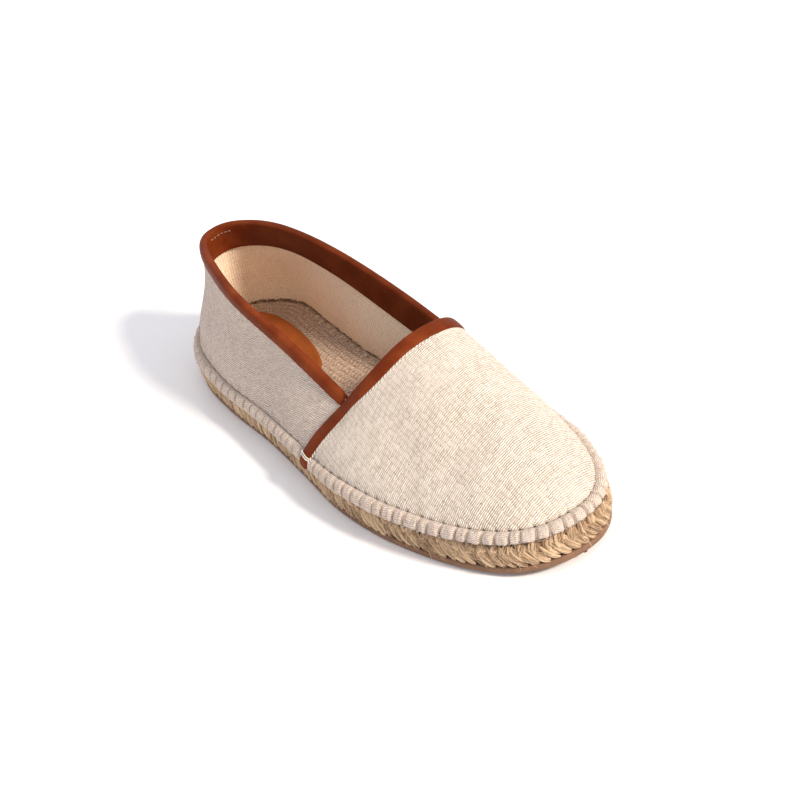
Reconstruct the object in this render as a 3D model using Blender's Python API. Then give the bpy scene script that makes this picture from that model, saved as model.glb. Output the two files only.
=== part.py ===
"""Slip-on espadrille, right shoe, standing empty on its sole.

Metres, +Z up, toe towards +Y, the shoe's outer (lateral) side towards +X.
The origin is the middle of the shoe's footprint, on the floor.
Widths are shares of BALL_WIDTH, lengths shares of SOLE_LENGTH, heights shares of the named heights.
"""

import math

import bmesh
import bpy
import numpy as np
from mathutils import Vector
from mathutils.bvhtree import BVHTree

# Driving sizes of the last and the sole
SOLE_LENGTH = 0.270
BALL_WIDTH = 0.0935
HEEL_HEIGHT = 0.0565
INSTEP_HEIGHT = 0.0612
TOE_SPRING = 0.0042
SPRING_START = 0.76
OUTSOLE_THICKNESS = 0.0032
OUTSOLE_INSET = 0.0007
OUTSOLE_BEVEL = 0.0008
JUTE_THICKNESS = 0.0108
TIER_GROOVE = 0.0011
STRAND_RELIEF = 0.0007
STRAND_PITCH = 0.0057

# Canvas and leather
CANVAS_WALL = 0.0018
VAMP_STEP = 0.0012
RIM_WIDTH = 0.0042
RIM_HEIGHT = 0.0048
LEATHER = 0.0009
BINDING_WIDTH = 0.0055
BINDING_TURN_IN = 0.0045
FOLD_EDGE = 0.0001
COLLAR_OUTSIDE = 0.0042
COLLAR_INSIDE = 0.0125
COLLAR_STOP = 0.0024
PAD_THICKNESS = 0.0012
PAD_LENGTH = 0.075
PAD_WIDTH = 0.031
PAD_BACK = 0.014
GAP = 0.0003

# Places along the shoe, as shares of SOLE_LENGTH
VAMP_LINE = 0.515
TOPLINE_BACK = 0.0125

# Plan of the sole: how far each side stands from the shoe's axis
OUTLINE = {
    "along": (0.0, 0.035, 0.10, 0.22, 0.36, 0.48, 0.60, 0.70, 0.80, 0.90, 0.96, 1.0),
    "lateral": (0.0, 0.225, 0.370, 0.435, 0.452, 0.490, 0.532, 0.520, 0.465, 0.370, 0.262, -0.020),
    "medial": (0.0, 0.225, 0.330, 0.298, 0.272, 0.312, 0.428, 0.470, 0.458, 0.372, 0.262, 0.020),
}

# Edge of the collar from its back to the two throat corners; heights are shares of HEEL_HEIGHT
TOPLINE = {
    "along": (0.0, 0.035, 0.12, 0.24, 0.39, 0.548),
    "lateral": (0.0, 0.116, 0.202, 0.280, 0.282, 0.272),
    "lateral_height": (1.04, 1.05, 1.07, 1.06, 0.92, 0.69),
    "medial": (0.0, 0.130, 0.225, 0.292, 0.345, 0.355),
    "medial_height": (1.04, 1.09, 1.12, 1.06, 0.91, 0.77),
}

# Edge of the vamp over the instep, between the two corners; heights are shares of INSTEP_HEIGHT
THROAT = {
    "across": (0.163, -0.016, -0.225),
    "along": (0.592, 0.605, 0.601),
    "height": (0.85, 1.0, 0.98),
}

# How the wall rises from the sole's edge to the opening, by the place where it starts
MERIDIANS = {
    "along": (0.0, 0.25, 0.515, 0.75, 1.0),
    "start_rise": (0.40, 0.38, 0.26, 0.12, 0.34),
    "end_pull": (0.30, 0.21, 0.32, 0.40, 0.40),
    "end_drop": (0.40, 0.42, 0.27, 0.29, 0.33),
}

# Just ahead of the vamp's edge the wall's lines fan out towards the toe, by this share of INSTEP_HEIGHT
FAN = {
    "along": (0.50, 0.515, 0.535, 0.56, 0.60, 0.64, 0.66),
    "sweep": (0.0, 0.0, 0.13, 0.11, 0.04, 0.0, 0.0),
}

# The hem by the place along the sole: its shares of RIM_HEIGHT and RIM_WIDTH, how far it sits in
# from the sole's edge as a share of RIM_WIDTH, and how much of its lip hangs over the jute
HEM = {
    "along": (0.0, 0.08, 0.25, 0.45, 0.65, 0.85, 1.0),
    "height": (1.45, 1.30, 0.78, 0.80, 1.0, 1.0, 1.0),
    "width": (1.0, 0.95, 0.72, 0.78, 1.0, 1.0, 1.0),
    "inset": (0.0, 0.0, -0.15, -0.10, 0.0, 0.25, 0.75),
    "hang": (0.1, 0.3, 1.0, 0.9, 0.3, 0.0, 0.0),
}

# Rolled canvas hem in section, from its foot on the sole, round its lip, up to the groove above it
RIM = {
    "inset": (0.35, -0.10, -0.12, -0.30, -0.36, -0.20, 0.20, 0.62, 0.90),
    "height": (0.0, 0.0, 0.0, 0.06, 0.32, 0.72, 1.0, 0.97, 0.80),
    "lip": (0.0, 0.0, -0.32, -0.36, -0.20, 0.0, 0.0, 0.0, 0.0),
}
GROOVE_HEIGHT = 0.78
BINDING_RIM_ROWS = slice(3, 7)

# Side of the jute sole, from the outsole up: a tall plaited tier and a low tier of upright plies
JUTE_SIDE = {
    "height": (0.0, 0.10, 0.32, 0.56, 0.66, 0.76, 0.92, 1.0),
    "inset": (0.8, 0.1, 0.0, 0.1, 1.0, 0.1, 0.1, 0.8),
    "strand": (0.0, 1.0, 1.0, 1.0, 0.0, -1.0, -1.0, 0.0),
}

QUARTER_COLUMNS = 15
QUARTER_CROWDING = 1.3
VAMP_COLUMNS = 38
WALL_ROWS = 10
NORMAL_EASINGS = 2
PAD_COLUMNS = 36

MATERIALS = {
    "canvas": ((0.78, 0.70, 0.58), 0.9),
    "leather": ((0.30, 0.09, 0.035), 0.45),
    "pad_leather": ((0.42, 0.14, 0.04), 0.55),
    "jute": ((0.55, 0.40, 0.24), 0.95),
    "rubber": ((0.30, 0.16, 0.09), 0.7),
}


def clear_scene():
    for obj in list(bpy.data.objects):
        bpy.data.objects.remove(obj, do_unlink=True)


def smooth(keys, values, at):
    """Read a table: a cubic curve through its rows, at the given keys."""
    keys = np.asarray(keys, float)
    values = np.asarray(values, float)
    slopes = np.gradient(values, keys, edge_order=2)
    at = np.clip(at, keys[0], keys[-1])
    row = np.clip(np.searchsorted(keys, at, side="right") - 1, 0, len(keys) - 2)
    span = keys[row + 1] - keys[row]
    t = (at - keys[row]) / span
    rise = values[row + 1] - values[row]
    bend = (slopes[row] + slopes[row + 1]) * span - 2 * rise
    return values[row] + t * (slopes[row] * span + t * (rise - slopes[row] * span - bend + t * bend))


def angle_at(along):
    """Turn a share of the length into an angle, 0 at the heel and pi at the toe, so that ends come out round."""
    return np.arccos(1 - 2 * np.clip(along, 0, 1))


def outline(angle):
    """Plan points of the sole's edge: 0 is the heel, pi the toe, and past pi the medial side comes back."""
    angle = np.asarray(angle, float)
    turn = np.where(angle > math.pi, 2 * math.pi - angle, angle)
    keys = angle_at(np.array(OUTLINE["along"]))
    lateral = smooth(keys, OUTLINE["lateral"], turn)
    medial = -smooth(keys, OUTLINE["medial"], turn)
    x = np.where(angle > math.pi, medial, lateral) * BALL_WIDTH
    y = (1 - np.cos(turn)) / 2 * SOLE_LENGTH
    return np.stack([x, y], axis=-1)


def outward(angle):
    """Unit normals of the outline in plan."""
    step = 0.01
    angle = np.asarray(angle, float)
    ahead = outline(np.mod(angle + step, 2 * math.pi))
    behind = outline(np.mod(angle - step, 2 * math.pi))
    run = ahead - behind
    normal = np.stack([run[..., 1], -run[..., 0]], axis=-1)
    return normal / np.linalg.norm(normal, axis=-1, keepdims=True)


def spring(y):
    """How far the sole has lifted off the floor at this place."""
    rise = np.clip((y / SOLE_LENGTH - SPRING_START) / (1 - SPRING_START), 0, None)
    return TOE_SPRING * rise**2


def sole_top(y):
    return OUTSOLE_THICKNESS + GAP + JUTE_THICKNESS + spring(y)


def run_lengths(points):
    steps = np.linalg.norm(np.diff(points, axis=0), axis=1)
    return np.concatenate([[0.0], np.cumsum(steps)])


def angles_between(start, end, shares):
    """Outline angles at the given shares of the way along the outline from start to end."""
    fine = np.linspace(start, end, 400)
    run = run_lengths(outline(fine))
    return np.interp(np.asarray(shares) * run[-1], run, fine)


def points_along(curve, shares):
    """Points at the given shares of a curve's length."""
    run = run_lengths(curve)
    at = np.asarray(shares) * run[-1]
    return np.stack([np.interp(at, run, curve[:, axis]) for axis in range(3)], axis=1)


def topline(side):
    """Edge of the collar, from its back to the throat corner on one side."""
    keys = angle_at(np.array(TOPLINE["along"]))
    turn = np.linspace(0, keys[-1], 200)
    sign = 1 if side == "lateral" else -1
    x = sign * smooth(keys, TOPLINE[side], turn) * BALL_WIDTH
    y = (TOPLINE_BACK + (1 - np.cos(turn)) / 2) * SOLE_LENGTH
    z = smooth(keys, TOPLINE[side + "_height"], turn) * HEEL_HEIGHT
    return np.stack([x, y, z], axis=1)


def throat():
    """Edge of the vamp over the instep, from the lateral corner to the medial one."""
    middle = np.stack(
        [
            np.array(THROAT["across"]) * BALL_WIDTH,
            np.array(THROAT["along"]) * SOLE_LENGTH,
            np.array(THROAT["height"]) * INSTEP_HEIGHT,
        ],
        axis=1,
    )
    knots = np.vstack([topline("lateral")[-1], middle, topline("medial")[-1]])
    keys = run_lengths(knots)
    at = np.linspace(0, keys[-1], 200)
    return np.stack([smooth(keys, knots[:, axis], at) for axis in range(3)], axis=1)


def step_ends(count, length):
    """Even shares of the vamp's way round, with the first and last a gap in from its two edges."""
    shares = np.linspace(0, 1, count + 1)
    shares[0] = GAP / length
    shares[-1] = 1 - GAP / length
    return shares


def wall_columns(quarters, vamp_count):
    """Where each column of the upper starts on the sole and ends on the opening, once round from the heel."""
    corner = float(angle_at(VAMP_LINE))
    full = 2 * math.pi
    back = quarters[:0:-1]
    toe_run = run_lengths(outline(np.linspace(corner, full - corner, 800)))[-1]
    throat_run = run_lengths(throat())[-1]
    angles = np.concatenate(
        [
            angles_between(0, corner, quarters),
            angles_between(corner, full - corner, step_ends(vamp_count, toe_run)),
            angles_between(full, full - corner, back),
        ]
    )
    edges = np.concatenate(
        [
            points_along(topline("lateral"), quarters),
            points_along(throat(), step_ends(vamp_count, throat_run)),
            points_along(topline("medial"), back),
        ]
    )
    raised = np.concatenate([np.zeros(len(quarters)), np.ones(vamp_count + 1), np.zeros(len(back))])
    return angles, edges, raised


def hem_at(turn):
    """The hem's shares at these outline angles."""
    keys = angle_at(np.array(HEM["along"]))
    return {name: smooth(keys, HEM[name], turn) for name in ("height", "width", "inset", "hang")}


def wall_surface(angles, edges, rows):
    """Outer face of the canvas wall, a grid of columns and rows, from the groove to the opening."""
    turn = np.where(angles > math.pi, 2 * math.pi - angles, angles)
    hem = hem_at(turn)
    start = outline(angles) - outward(angles) * (hem["width"] + hem["inset"])[:, None] * RIM_WIDTH
    groove = GROOVE_HEIGHT * RIM_HEIGHT * hem["height"]
    foot = np.column_stack([start, sole_top(start[:, 1]) + GAP + groove])
    keys = angle_at(np.array(MERIDIANS["along"]))
    rise = smooth(keys, MERIDIANS["start_rise"], turn)[:, None]
    pull = smooth(keys, MERIDIANS["end_pull"], turn)[:, None]
    drop = smooth(keys, MERIDIANS["end_drop"], turn)[:, None]
    up = np.array([0.0, 0.0, 1.0])
    height = (edges[:, 2] - foot[:, 2])[:, None]
    inward = (edges - foot) * np.array([1.0, 1.0, 0.0])
    low = foot + up * rise * height
    high = edges - inward * pull - up * drop * height
    high[:, 1] += smooth(FAN["along"], FAN["sweep"], (1 - np.cos(turn)) / 2) * INSTEP_HEIGHT
    t = np.linspace(0, 1, rows)[None, :, None]
    foot, low, high, top = (points[:, None, :] for points in (foot, low, high, edges))
    return (1 - t) ** 3 * foot + 3 * t * (1 - t) ** 2 * low + 3 * t**2 * (1 - t) * high + t**3 * top


def grid_normals(grid):
    """Unit normals at the points of a grid that closes on itself from its last column to its first."""
    after = np.roll(grid, -1, axis=0)
    faces = np.cross(after[:, 1:] - grid[:, :-1], grid[:, 1:] - after[:, :-1])
    total = np.zeros_like(grid)
    for rows in (slice(0, -1), slice(1, None)):
        total[:, rows] += faces
        total[:, rows] += np.roll(faces, 1, axis=0)
    total[:, 0, 2] = 0
    return total / np.linalg.norm(total, axis=2, keepdims=True)


def wall_normals(wall):
    """Unit normals of the wall; two columns only a gap apart, at an edge of the vamp, share theirs."""
    width = np.linalg.norm(np.roll(wall, -1, axis=0) - wall, axis=2).max(axis=1)
    twins = np.flatnonzero(width < 3 * GAP)
    single = np.delete(np.arange(len(wall)), twins)
    normals = np.empty_like(wall)
    eased = grid_normals(wall[single])
    for _ in range(NORMAL_EASINGS):
        eased = np.roll(eased, 1, axis=0) / 4 + eased / 2 + np.roll(eased, -1, axis=0) / 4
        eased[:, 1:-1] = eased[:, :-2] / 4 + eased[:, 1:-1] / 2 + eased[:, 2:] / 4
    normals[single] = eased / np.linalg.norm(eased, axis=2, keepdims=True)
    normals[twins] = normals[twins + 1]
    return normals


def rim_rows(angles):
    """The rolled hem outside the groove, a grid of columns and rows."""
    edge = outline(angles)
    away = outward(angles)
    hem = hem_at(np.where(angles > math.pi, 2 * math.pi - angles, angles))
    rows = []
    for inset, height, lip in zip(RIM["inset"], RIM["height"], RIM["lip"]):
        reach = inset * (hem["width"] if inset > 0 else 1) + hem["inset"]
        plan = edge - away * reach[:, None] * RIM_WIDTH
        rise = (height * hem["height"] + lip * hem["hang"]) * RIM_HEIGHT
        rows.append(np.column_stack([plan, sole_top(plan[:, 1]) + GAP + rise]))
    return np.stack(rows, axis=1)


def quarter_shares(count):
    """Shares of the way from the heel to the vamp line, closer together round the heel."""
    shares = np.linspace(0, 1, count + 1) ** QUARTER_CROWDING
    return np.insert(shares, -1, collar_end_share())


def collar_end_share():
    """Where the collar leather stops, just short of the turned edge of the vamp's binding."""
    corner = float(angle_at(VAMP_LINE))
    run = run_lengths(outline(np.linspace(0, corner, 400)))[-1]
    return 1 - COLLAR_STOP / run


def mesh_object(name, points, faces, material):
    mesh = bpy.data.meshes.new(name)
    solid = bmesh.new()
    corners = [solid.verts.new(point) for point in points]
    for face in faces:
        solid.faces.new([corners[index] for index in face])
    bmesh.ops.recalc_face_normals(solid, faces=solid.faces)
    solid.to_mesh(mesh)
    solid.free()
    mesh.shade_smooth()
    mesh.set_sharp_from_angle(angle=math.radians(40))
    mesh.materials.append(material)
    obj = bpy.data.objects.new(name, mesh)
    bpy.context.scene.collection.objects.link(obj)
    return obj


def ring_faces(rings, count, closed):
    """Quads between rings of count points each; closed joins the last ring to the first."""
    faces = []
    for ring in range(rings if closed else rings - 1):
        here = ring * count
        there = (ring + 1) % rings * count
        for step in range(count):
            after = (step + 1) % count
            faces.append((here + step, here + after, there + after, there + step))
    return faces


def ladder_faces(start, count):
    """Fills a ring whose points pair up across the shoe, from the heel to the toe."""
    half = count // 2
    faces = [(start, start + 1, start + count - 1)]
    for step in range(1, half - 1):
        far = count - step
        faces.append((start + step, start + step + 1, start + far - 1, start + far))
    faces.append((start + half - 1, start + half, start + half + 1))
    return faces


def paired_angles(count):
    """Outline angles a strand apart, at the same places along both sides."""
    fine = np.linspace(0, math.pi, 800)
    lateral = run_lengths(outline(fine))
    medial = run_lengths(outline(2 * math.pi - fine))
    run = (lateral + medial) / 2
    out = np.interp(np.linspace(0, run[-1], count + 1), run, fine)
    return np.concatenate([out, 2 * math.pi - out[-2:0:-1]])


def strands_per_side():
    run = run_lengths(outline(np.linspace(0, math.pi, 400)))[-1]
    return int(round(run / STRAND_PITCH))


def sole_ring(angles, inset, height, relief=0.0):
    """One level of the sole: the outline drawn in by inset, at this height over the floor's plane."""
    plan = outline(angles) - outward(angles) * (inset - relief)[:, None]
    return np.column_stack([plan, height + spring(outline(angles)[:, 1])])


def sole_solid(name, rings, material):
    count = len(rings[0])
    faces = ring_faces(len(rings), count, closed=False)
    faces += ladder_faces(0, count)
    faces += ladder_faces((len(rings) - 1) * count, count)
    return mesh_object(name, np.concatenate(rings), faces, material)


def make_outsole(material):
    """Thin rubber sheet under the jute, flat at heel and ball, lifted at the toe."""
    angles = paired_angles(strands_per_side() // 2)
    inset = np.full(len(angles), OUTSOLE_INSET)
    rings = [
        sole_ring(angles, inset + OUTSOLE_BEVEL, 0.0),
        sole_ring(angles, inset, OUTSOLE_BEVEL),
        sole_ring(angles, inset, OUTSOLE_THICKNESS),
    ]
    return sole_solid("outsole", rings, material)


def make_jute_sole(material):
    """Plaited jute slab: its side has two rounded tiers of strands, and its top is the insole."""
    angles = paired_angles(2 * strands_per_side())
    crest = np.where(np.arange(len(angles)) % 2 == 0, 0.0, -STRAND_RELIEF)
    floor = OUTSOLE_THICKNESS + GAP
    rings = []
    for height, inset, strand in zip(JUTE_SIDE["height"], JUTE_SIDE["inset"], JUTE_SIDE["strand"]):
        relief = crest * abs(strand)
        if strand < 0:
            relief = -STRAND_RELIEF - relief
        drawn_in = np.full(len(angles), inset * TIER_GROOVE)
        rings.append(sole_ring(angles, drawn_in, floor + height * JUTE_THICKNESS, relief))
    return sole_solid("jute_sole", rings, material)


def canvas_wall():
    """Grids of columns and rows of the canvas: its outer face, its inner face, its normals, and its hem."""
    angles, edges, raised = wall_columns(quarter_shares(QUARTER_COLUMNS), VAMP_COLUMNS)
    wall = wall_surface(angles, edges, WALL_ROWS)
    normals = wall_normals(wall)
    level = raised[:, None, None] * np.ones((1, WALL_ROWS, 1))
    level[:, 0] = 0
    outer = wall + normals * level * VAMP_STEP
    inner = wall - normals * CANVAS_WALL
    return outer, inner, normals, rim_rows(angles)


def make_upper(material):
    """Hollow canvas upper, one solid: hem roll, quarters, and the vamp standing over them by a step."""
    outer, inner, _, rim = canvas_wall()
    base = inner[:, :1].copy()
    base[:, :, 2] = rim[:, :1, 2]
    grid = np.concatenate([rim, outer, inner[:, ::-1], base], axis=1)
    columns, rows = grid.shape[:2]
    faces = ring_faces(columns, rows, closed=True)
    return mesh_object("upper", grid.reshape(-1, 3), faces, material)


def swept_solid(name, sections, material):
    """Solid through sections of equal point counts, with a flat cap at each end."""
    count = len(sections[0])
    faces = ring_faces(len(sections), count, closed=False)
    faces.append(tuple(range(count)))
    faces.append(tuple(range((len(sections) - 1) * count, len(sections) * count)))
    return mesh_object(name, np.concatenate(sections), faces, material)


def collar_section():
    """Points of the folded collar leather: distance below the edge, and height over the canvas face."""
    inside = -CANVAS_WALL - GAP
    lining = inside - LEATHER
    proud = GAP + LEATHER
    return [
        (COLLAR_OUTSIDE, GAP),
        (COLLAR_OUTSIDE, GAP + 0.6 * LEATHER),
        (COLLAR_OUTSIDE - LEATHER, proud),
        (-GAP, proud),
        (-GAP - 0.9 * LEATHER, 0.4 * LEATHER),
        (-GAP - 1.2 * LEATHER, -0.5 * CANVAS_WALL),
        (-GAP - 0.9 * LEATHER, lining + 0.5 * LEATHER),
        (-GAP, lining),
        (0.5 * COLLAR_INSIDE, lining),
        (COLLAR_INSIDE, lining),
        (COLLAR_INSIDE, inside),
        (0.5 * COLLAR_INSIDE, inside),
        (-GAP, inside),
        (-GAP, GAP),
    ]


def make_collar_binding(material):
    """One strip of leather folded over the collar: narrow outside, a tall facing inside."""
    outer, inner, normals, _ = canvas_wall()
    last = QUARTER_COLUMNS
    order = list(range(len(outer) - last, len(outer))) + list(range(last + 1))
    sections = []
    for column in order:
        outside = outer[column, ::-1]
        inside = inner[column, ::-1]
        away = normals[column, ::-1]
        back = outside[0] - outside[1]
        back = back / np.linalg.norm(back)
        section = []
        for below, over in collar_section():
            beyond = over < -CANVAS_WALL
            line = inside if beyond else outside
            row = np.interp(max(below, 0), run_lengths(line), np.arange(WALL_ROWS))
            point = at_row(line, row)
            normal = at_row(away, row)
            lift = over + CANVAS_WALL if beyond else over
            section.append(point + normal / np.linalg.norm(normal) * lift + back * max(-below, 0))
        sections.append(np.array(section))
    return swept_solid("collar_binding", sections, material)


def at_row(line, row):
    """The point of a line of points at a row number that may fall between two of them."""
    return np.array([np.interp(row, np.arange(len(line)), line[:, axis]) for axis in range(3)])


def binding_section(step, depth, turn_in):
    """Points of the vamp's binding: distance ahead of the vamp's edge, and height over the vamp's face.

    step is how far the vamp stands over what is behind it. Over the throat, depth takes the strip down
    past the canvas edge, and turn_in then brings it forward inside, both from 0 to 1.
    """
    proud = GAP + LEATHER
    near = -2 * GAP
    rear = near - LEATHER
    bottom = -step - depth * (CANVAS_WALL + 2 * GAP + LEATHER)
    inside = bottom + max(depth * LEATHER, FOLD_EDGE)
    forward = near + max(turn_in * (BINDING_TURN_IN - near), FOLD_EDGE)
    return [
        (BINDING_WIDTH, GAP),
        (BINDING_WIDTH, GAP + 0.6 * LEATHER),
        (BINDING_WIDTH - LEATHER, proud),
        (BINDING_WIDTH / 2, proud),
        (near, proud),
        (rear + 0.2 * LEATHER, proud - 0.5 * LEATHER),
        (rear, -0.3 * step),
        (rear, bottom + 0.3 * LEATHER),
        (rear + 0.5 * LEATHER, bottom),
        (forward, bottom),
        (forward, inside),
        (near, inside),
        (near, GAP),
        (BINDING_WIDTH / 2, GAP),
    ]


def eased(rows):
    """Directions along a path, each drawn towards those of its neighbours."""
    for _ in range(3):
        rows = rows.copy()
        rows[1:-1] = rows[:-2] / 4 + rows[1:-1] / 2 + rows[2:] / 4
    return rows


def surface_tree(grid):
    """A grid that closes on itself, ready for the nearest point on it to be looked up."""
    columns, rows = grid.shape[:2]
    return BVHTree.FromPolygons(grid.reshape(-1, 3).tolist(), ring_faces(columns, rows, closed=True))


def drape(tree, point, up):
    """The nearest place to a point on a surface, and the direction off it, on the side of up."""
    spot, facing, _, _ = tree.find_nearest(Vector(point))
    normal = up + np.array(facing) * np.sign(np.dot(facing, up))
    return np.array(spot), normal / np.linalg.norm(normal)


def make_vamp_binding(material):
    """Leather strip bound over the vamp's rear edge, from the sole up over the instep and down again."""
    outer, inner, normals, rim = canvas_wall()
    rim = rim[:, BINDING_RIM_ROWS]
    surface = np.concatenate([rim, outer[:, 1:]], axis=1)
    facing = wall_normals(surface)
    deep = facing[:, : rim.shape[1]] * (VAMP_STEP + CANVAS_WALL)
    under = np.concatenate([rim - deep, inner[:, 1:]], axis=1)
    first = QUARTER_COLUMNS + 2
    last = first + VAMP_COLUMNS
    outer_tree = surface_tree(surface)
    inner_tree = surface_tree(inner)
    behind_tree = surface_tree(np.delete(surface, slice(first, last + 1), axis=0))
    climb = list(range(surface.shape[1] - 1))
    places = [(first, row) for row in climb]
    places += [(column, surface.shape[1] - 1) for column in range(first, last + 1)]
    places += [(last, row) for row in climb[::-1]]
    line = np.array([surface[place] for place in places])
    below = np.array([under[place] for place in places])
    away = eased(np.array([facing[place] for place in places]))
    ahead = np.cross(eased(np.gradient(line, axis=0)), away)
    ahead *= np.sign(ahead[:, 1:2]) / np.linalg.norm(ahead, axis=1, keepdims=True)
    away = np.cross(np.cross(ahead, away), ahead)
    away /= np.linalg.norm(away, axis=1, keepdims=True)
    sections = []
    for place, (start, deep, forward, up) in enumerate(zip(line, below, ahead, away)):
        from_end = min(place, len(places) - 1 - place)
        past_corner = from_end - len(climb)
        step = VAMP_STEP * min(max(from_end - rim.shape[1] + 1, 0), 1) - GAP
        depth = min(max(past_corner - 1, 0), 1)
        turn_in = min(max(past_corner - 2, 0) / 2, 1)
        down = (deep - start) / np.linalg.norm(deep - start)
        section = []
        for reach, height in binding_section(step, depth, turn_in):
            if reach <= 0 and height < 0 and past_corner < 1:
                point, normal = drape(behind_tree, start + forward * reach + down * step, up)
                point = point + normal * (height + step + GAP)
            elif reach <= 0:
                point = start + forward * reach + (up * height if height > 0 else -down * height)
            elif height > 0:
                point, normal = drape(outer_tree, start + forward * reach, up)
                point = point + normal * height
            else:
                point, normal = drape(inner_tree, deep + forward * reach, up)
                point = point + normal * (height + VAMP_STEP + CANVAS_WALL)
            section.append(point)
        sections.append(np.array(section))
    return swept_solid("vamp_binding", sections, material)


def make_heel_pad(material):
    """Half-oval leather pad on the insole, about the middle of the heel."""
    turn = np.linspace(0, 2 * math.pi, PAD_COLUMNS, endpoint=False)
    y = PAD_BACK + PAD_LENGTH * (1 - np.cos(turn)) / 2
    side = angle_at(y / SOLE_LENGTH)
    middle = (outline(side)[:, 0] + outline(2 * math.pi - side)[:, 0]) / 2
    foot = sole_top(y) + GAP
    rings = []
    for inset, height in ((0.0, 0.0), (0.0, 0.6), (1.0, 1.0)):
        shrink = 1 - inset * PAD_THICKNESS / (PAD_WIDTH / 2)
        x = middle + PAD_WIDTH / 2 * shrink * np.sin(turn)
        centre = PAD_BACK + PAD_LENGTH / 2
        rings.append(np.column_stack([x, centre + (y - centre) * shrink, foot + height * PAD_THICKNESS]))
    return sole_solid("heel_pad", rings, material)


def make_material(name):
    colour, roughness = MATERIALS[name]
    material = bpy.data.materials.new(name)
    material.use_nodes = True
    shader = material.node_tree.nodes["Principled BSDF"]
    shader.inputs["Base Color"].default_value = (*colour, 1.0)
    shader.inputs["Roughness"].default_value = roughness
    shader.inputs["Metallic"].default_value = 0.0
    return material


def stand_on_origin(pieces):
    """Hangs the pieces on an empty that brings the middle of their box over the origin."""
    corners = np.array([vertex.co for piece in pieces for vertex in piece.data.vertices])
    middle = (corners.min(axis=0) + corners.max(axis=0)) / 2
    last = bpy.data.objects.new("last", None)
    bpy.context.scene.collection.objects.link(last)
    last.location = (-middle[0], -middle[1], 0.0)
    for piece in pieces:
        piece.parent = last


def main():
    clear_scene()
    materials = {name: make_material(name) for name in MATERIALS}
    pieces = [
        make_outsole(materials["rubber"]),
        make_jute_sole(materials["jute"]),
        make_upper(materials["canvas"]),
        make_collar_binding(materials["leather"]),
        make_vamp_binding(materials["leather"]),
        make_heel_pad(materials["pad_leather"]),
    ]
    stand_on_origin(pieces)


main()
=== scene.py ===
"""Looks of the slip-on espadrille, right shoe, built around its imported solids.

Metres, toe towards +Y, the shoe's outer (lateral) side towards +X, +Z up.
The shape functions work in the last's own frame, with the heel at y = 0; placed() moves their points
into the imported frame. Widths are shares of BALL_WIDTH, lengths shares of SOLE_LENGTH.
"""

import math

import bmesh
import bpy
import numpy as np
from mathutils import Matrix, Vector
from mathutils.bvhtree import BVHTree
from mathutils.kdtree import KDTree


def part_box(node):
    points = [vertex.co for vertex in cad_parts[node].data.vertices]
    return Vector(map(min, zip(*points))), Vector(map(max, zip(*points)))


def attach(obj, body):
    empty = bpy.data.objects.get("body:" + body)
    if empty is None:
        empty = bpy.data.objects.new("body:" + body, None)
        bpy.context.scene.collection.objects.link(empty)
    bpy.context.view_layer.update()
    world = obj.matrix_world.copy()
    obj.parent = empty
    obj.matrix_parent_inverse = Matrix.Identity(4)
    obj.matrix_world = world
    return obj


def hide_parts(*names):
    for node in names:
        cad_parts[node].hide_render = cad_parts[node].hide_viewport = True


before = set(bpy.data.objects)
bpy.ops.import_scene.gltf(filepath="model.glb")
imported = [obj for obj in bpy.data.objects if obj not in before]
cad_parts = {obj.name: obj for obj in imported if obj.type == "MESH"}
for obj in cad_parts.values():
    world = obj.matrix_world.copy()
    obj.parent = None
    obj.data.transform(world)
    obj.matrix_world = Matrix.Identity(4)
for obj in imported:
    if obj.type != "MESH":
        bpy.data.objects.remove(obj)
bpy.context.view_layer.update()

# Sizes of the last, the sole and the sheets, in metres, as in the part's source
SOLE_LENGTH = 0.270
BALL_WIDTH = 0.0935
HEEL_HEIGHT = 0.0565
INSTEP_HEIGHT = 0.0612
TOE_SPRING = 0.0042
OUTSOLE_THICKNESS = 0.0032
OUTSOLE_INSET = 0.0007
JUTE_THICKNESS = 0.0108
CANVAS_WALL = 0.0018
VAMP_STEP = 0.0012
RIM_WIDTH = 0.0042
RIM_HEIGHT = 0.0048
LEATHER = 0.0009
BINDING_WIDTH = 0.0055
BINDING_TURN_IN = 0.0045
FOLD_EDGE = 0.0001
COLLAR_OUTSIDE = 0.0042
COLLAR_INSIDE = 0.0125
COLLAR_STOP = 0.0024
PAD_THICKNESS = 0.0012
PAD_LENGTH = 0.075
PAD_WIDTH = 0.031
PAD_BACK = 0.014
GAP = 0.0003

# Places: shares of the sole's length, and for the groove a share of the hem's height
SPRING_START = 0.76
VAMP_LINE = 0.515
TOPLINE_BACK = 0.0125
GROOVE_HEIGHT = 0.78

# Columns and rows of the part's own wall, whose normals the canvas follows
BINDING_RIM_ROWS = slice(3, 7)
QUARTER_COLUMNS = 15
QUARTER_CROWDING = 1.3
VAMP_COLUMNS = 38
VAMP_START = QUARTER_COLUMNS + 2
WALL_ROWS = 10
NORMAL_EASINGS = 2

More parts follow.
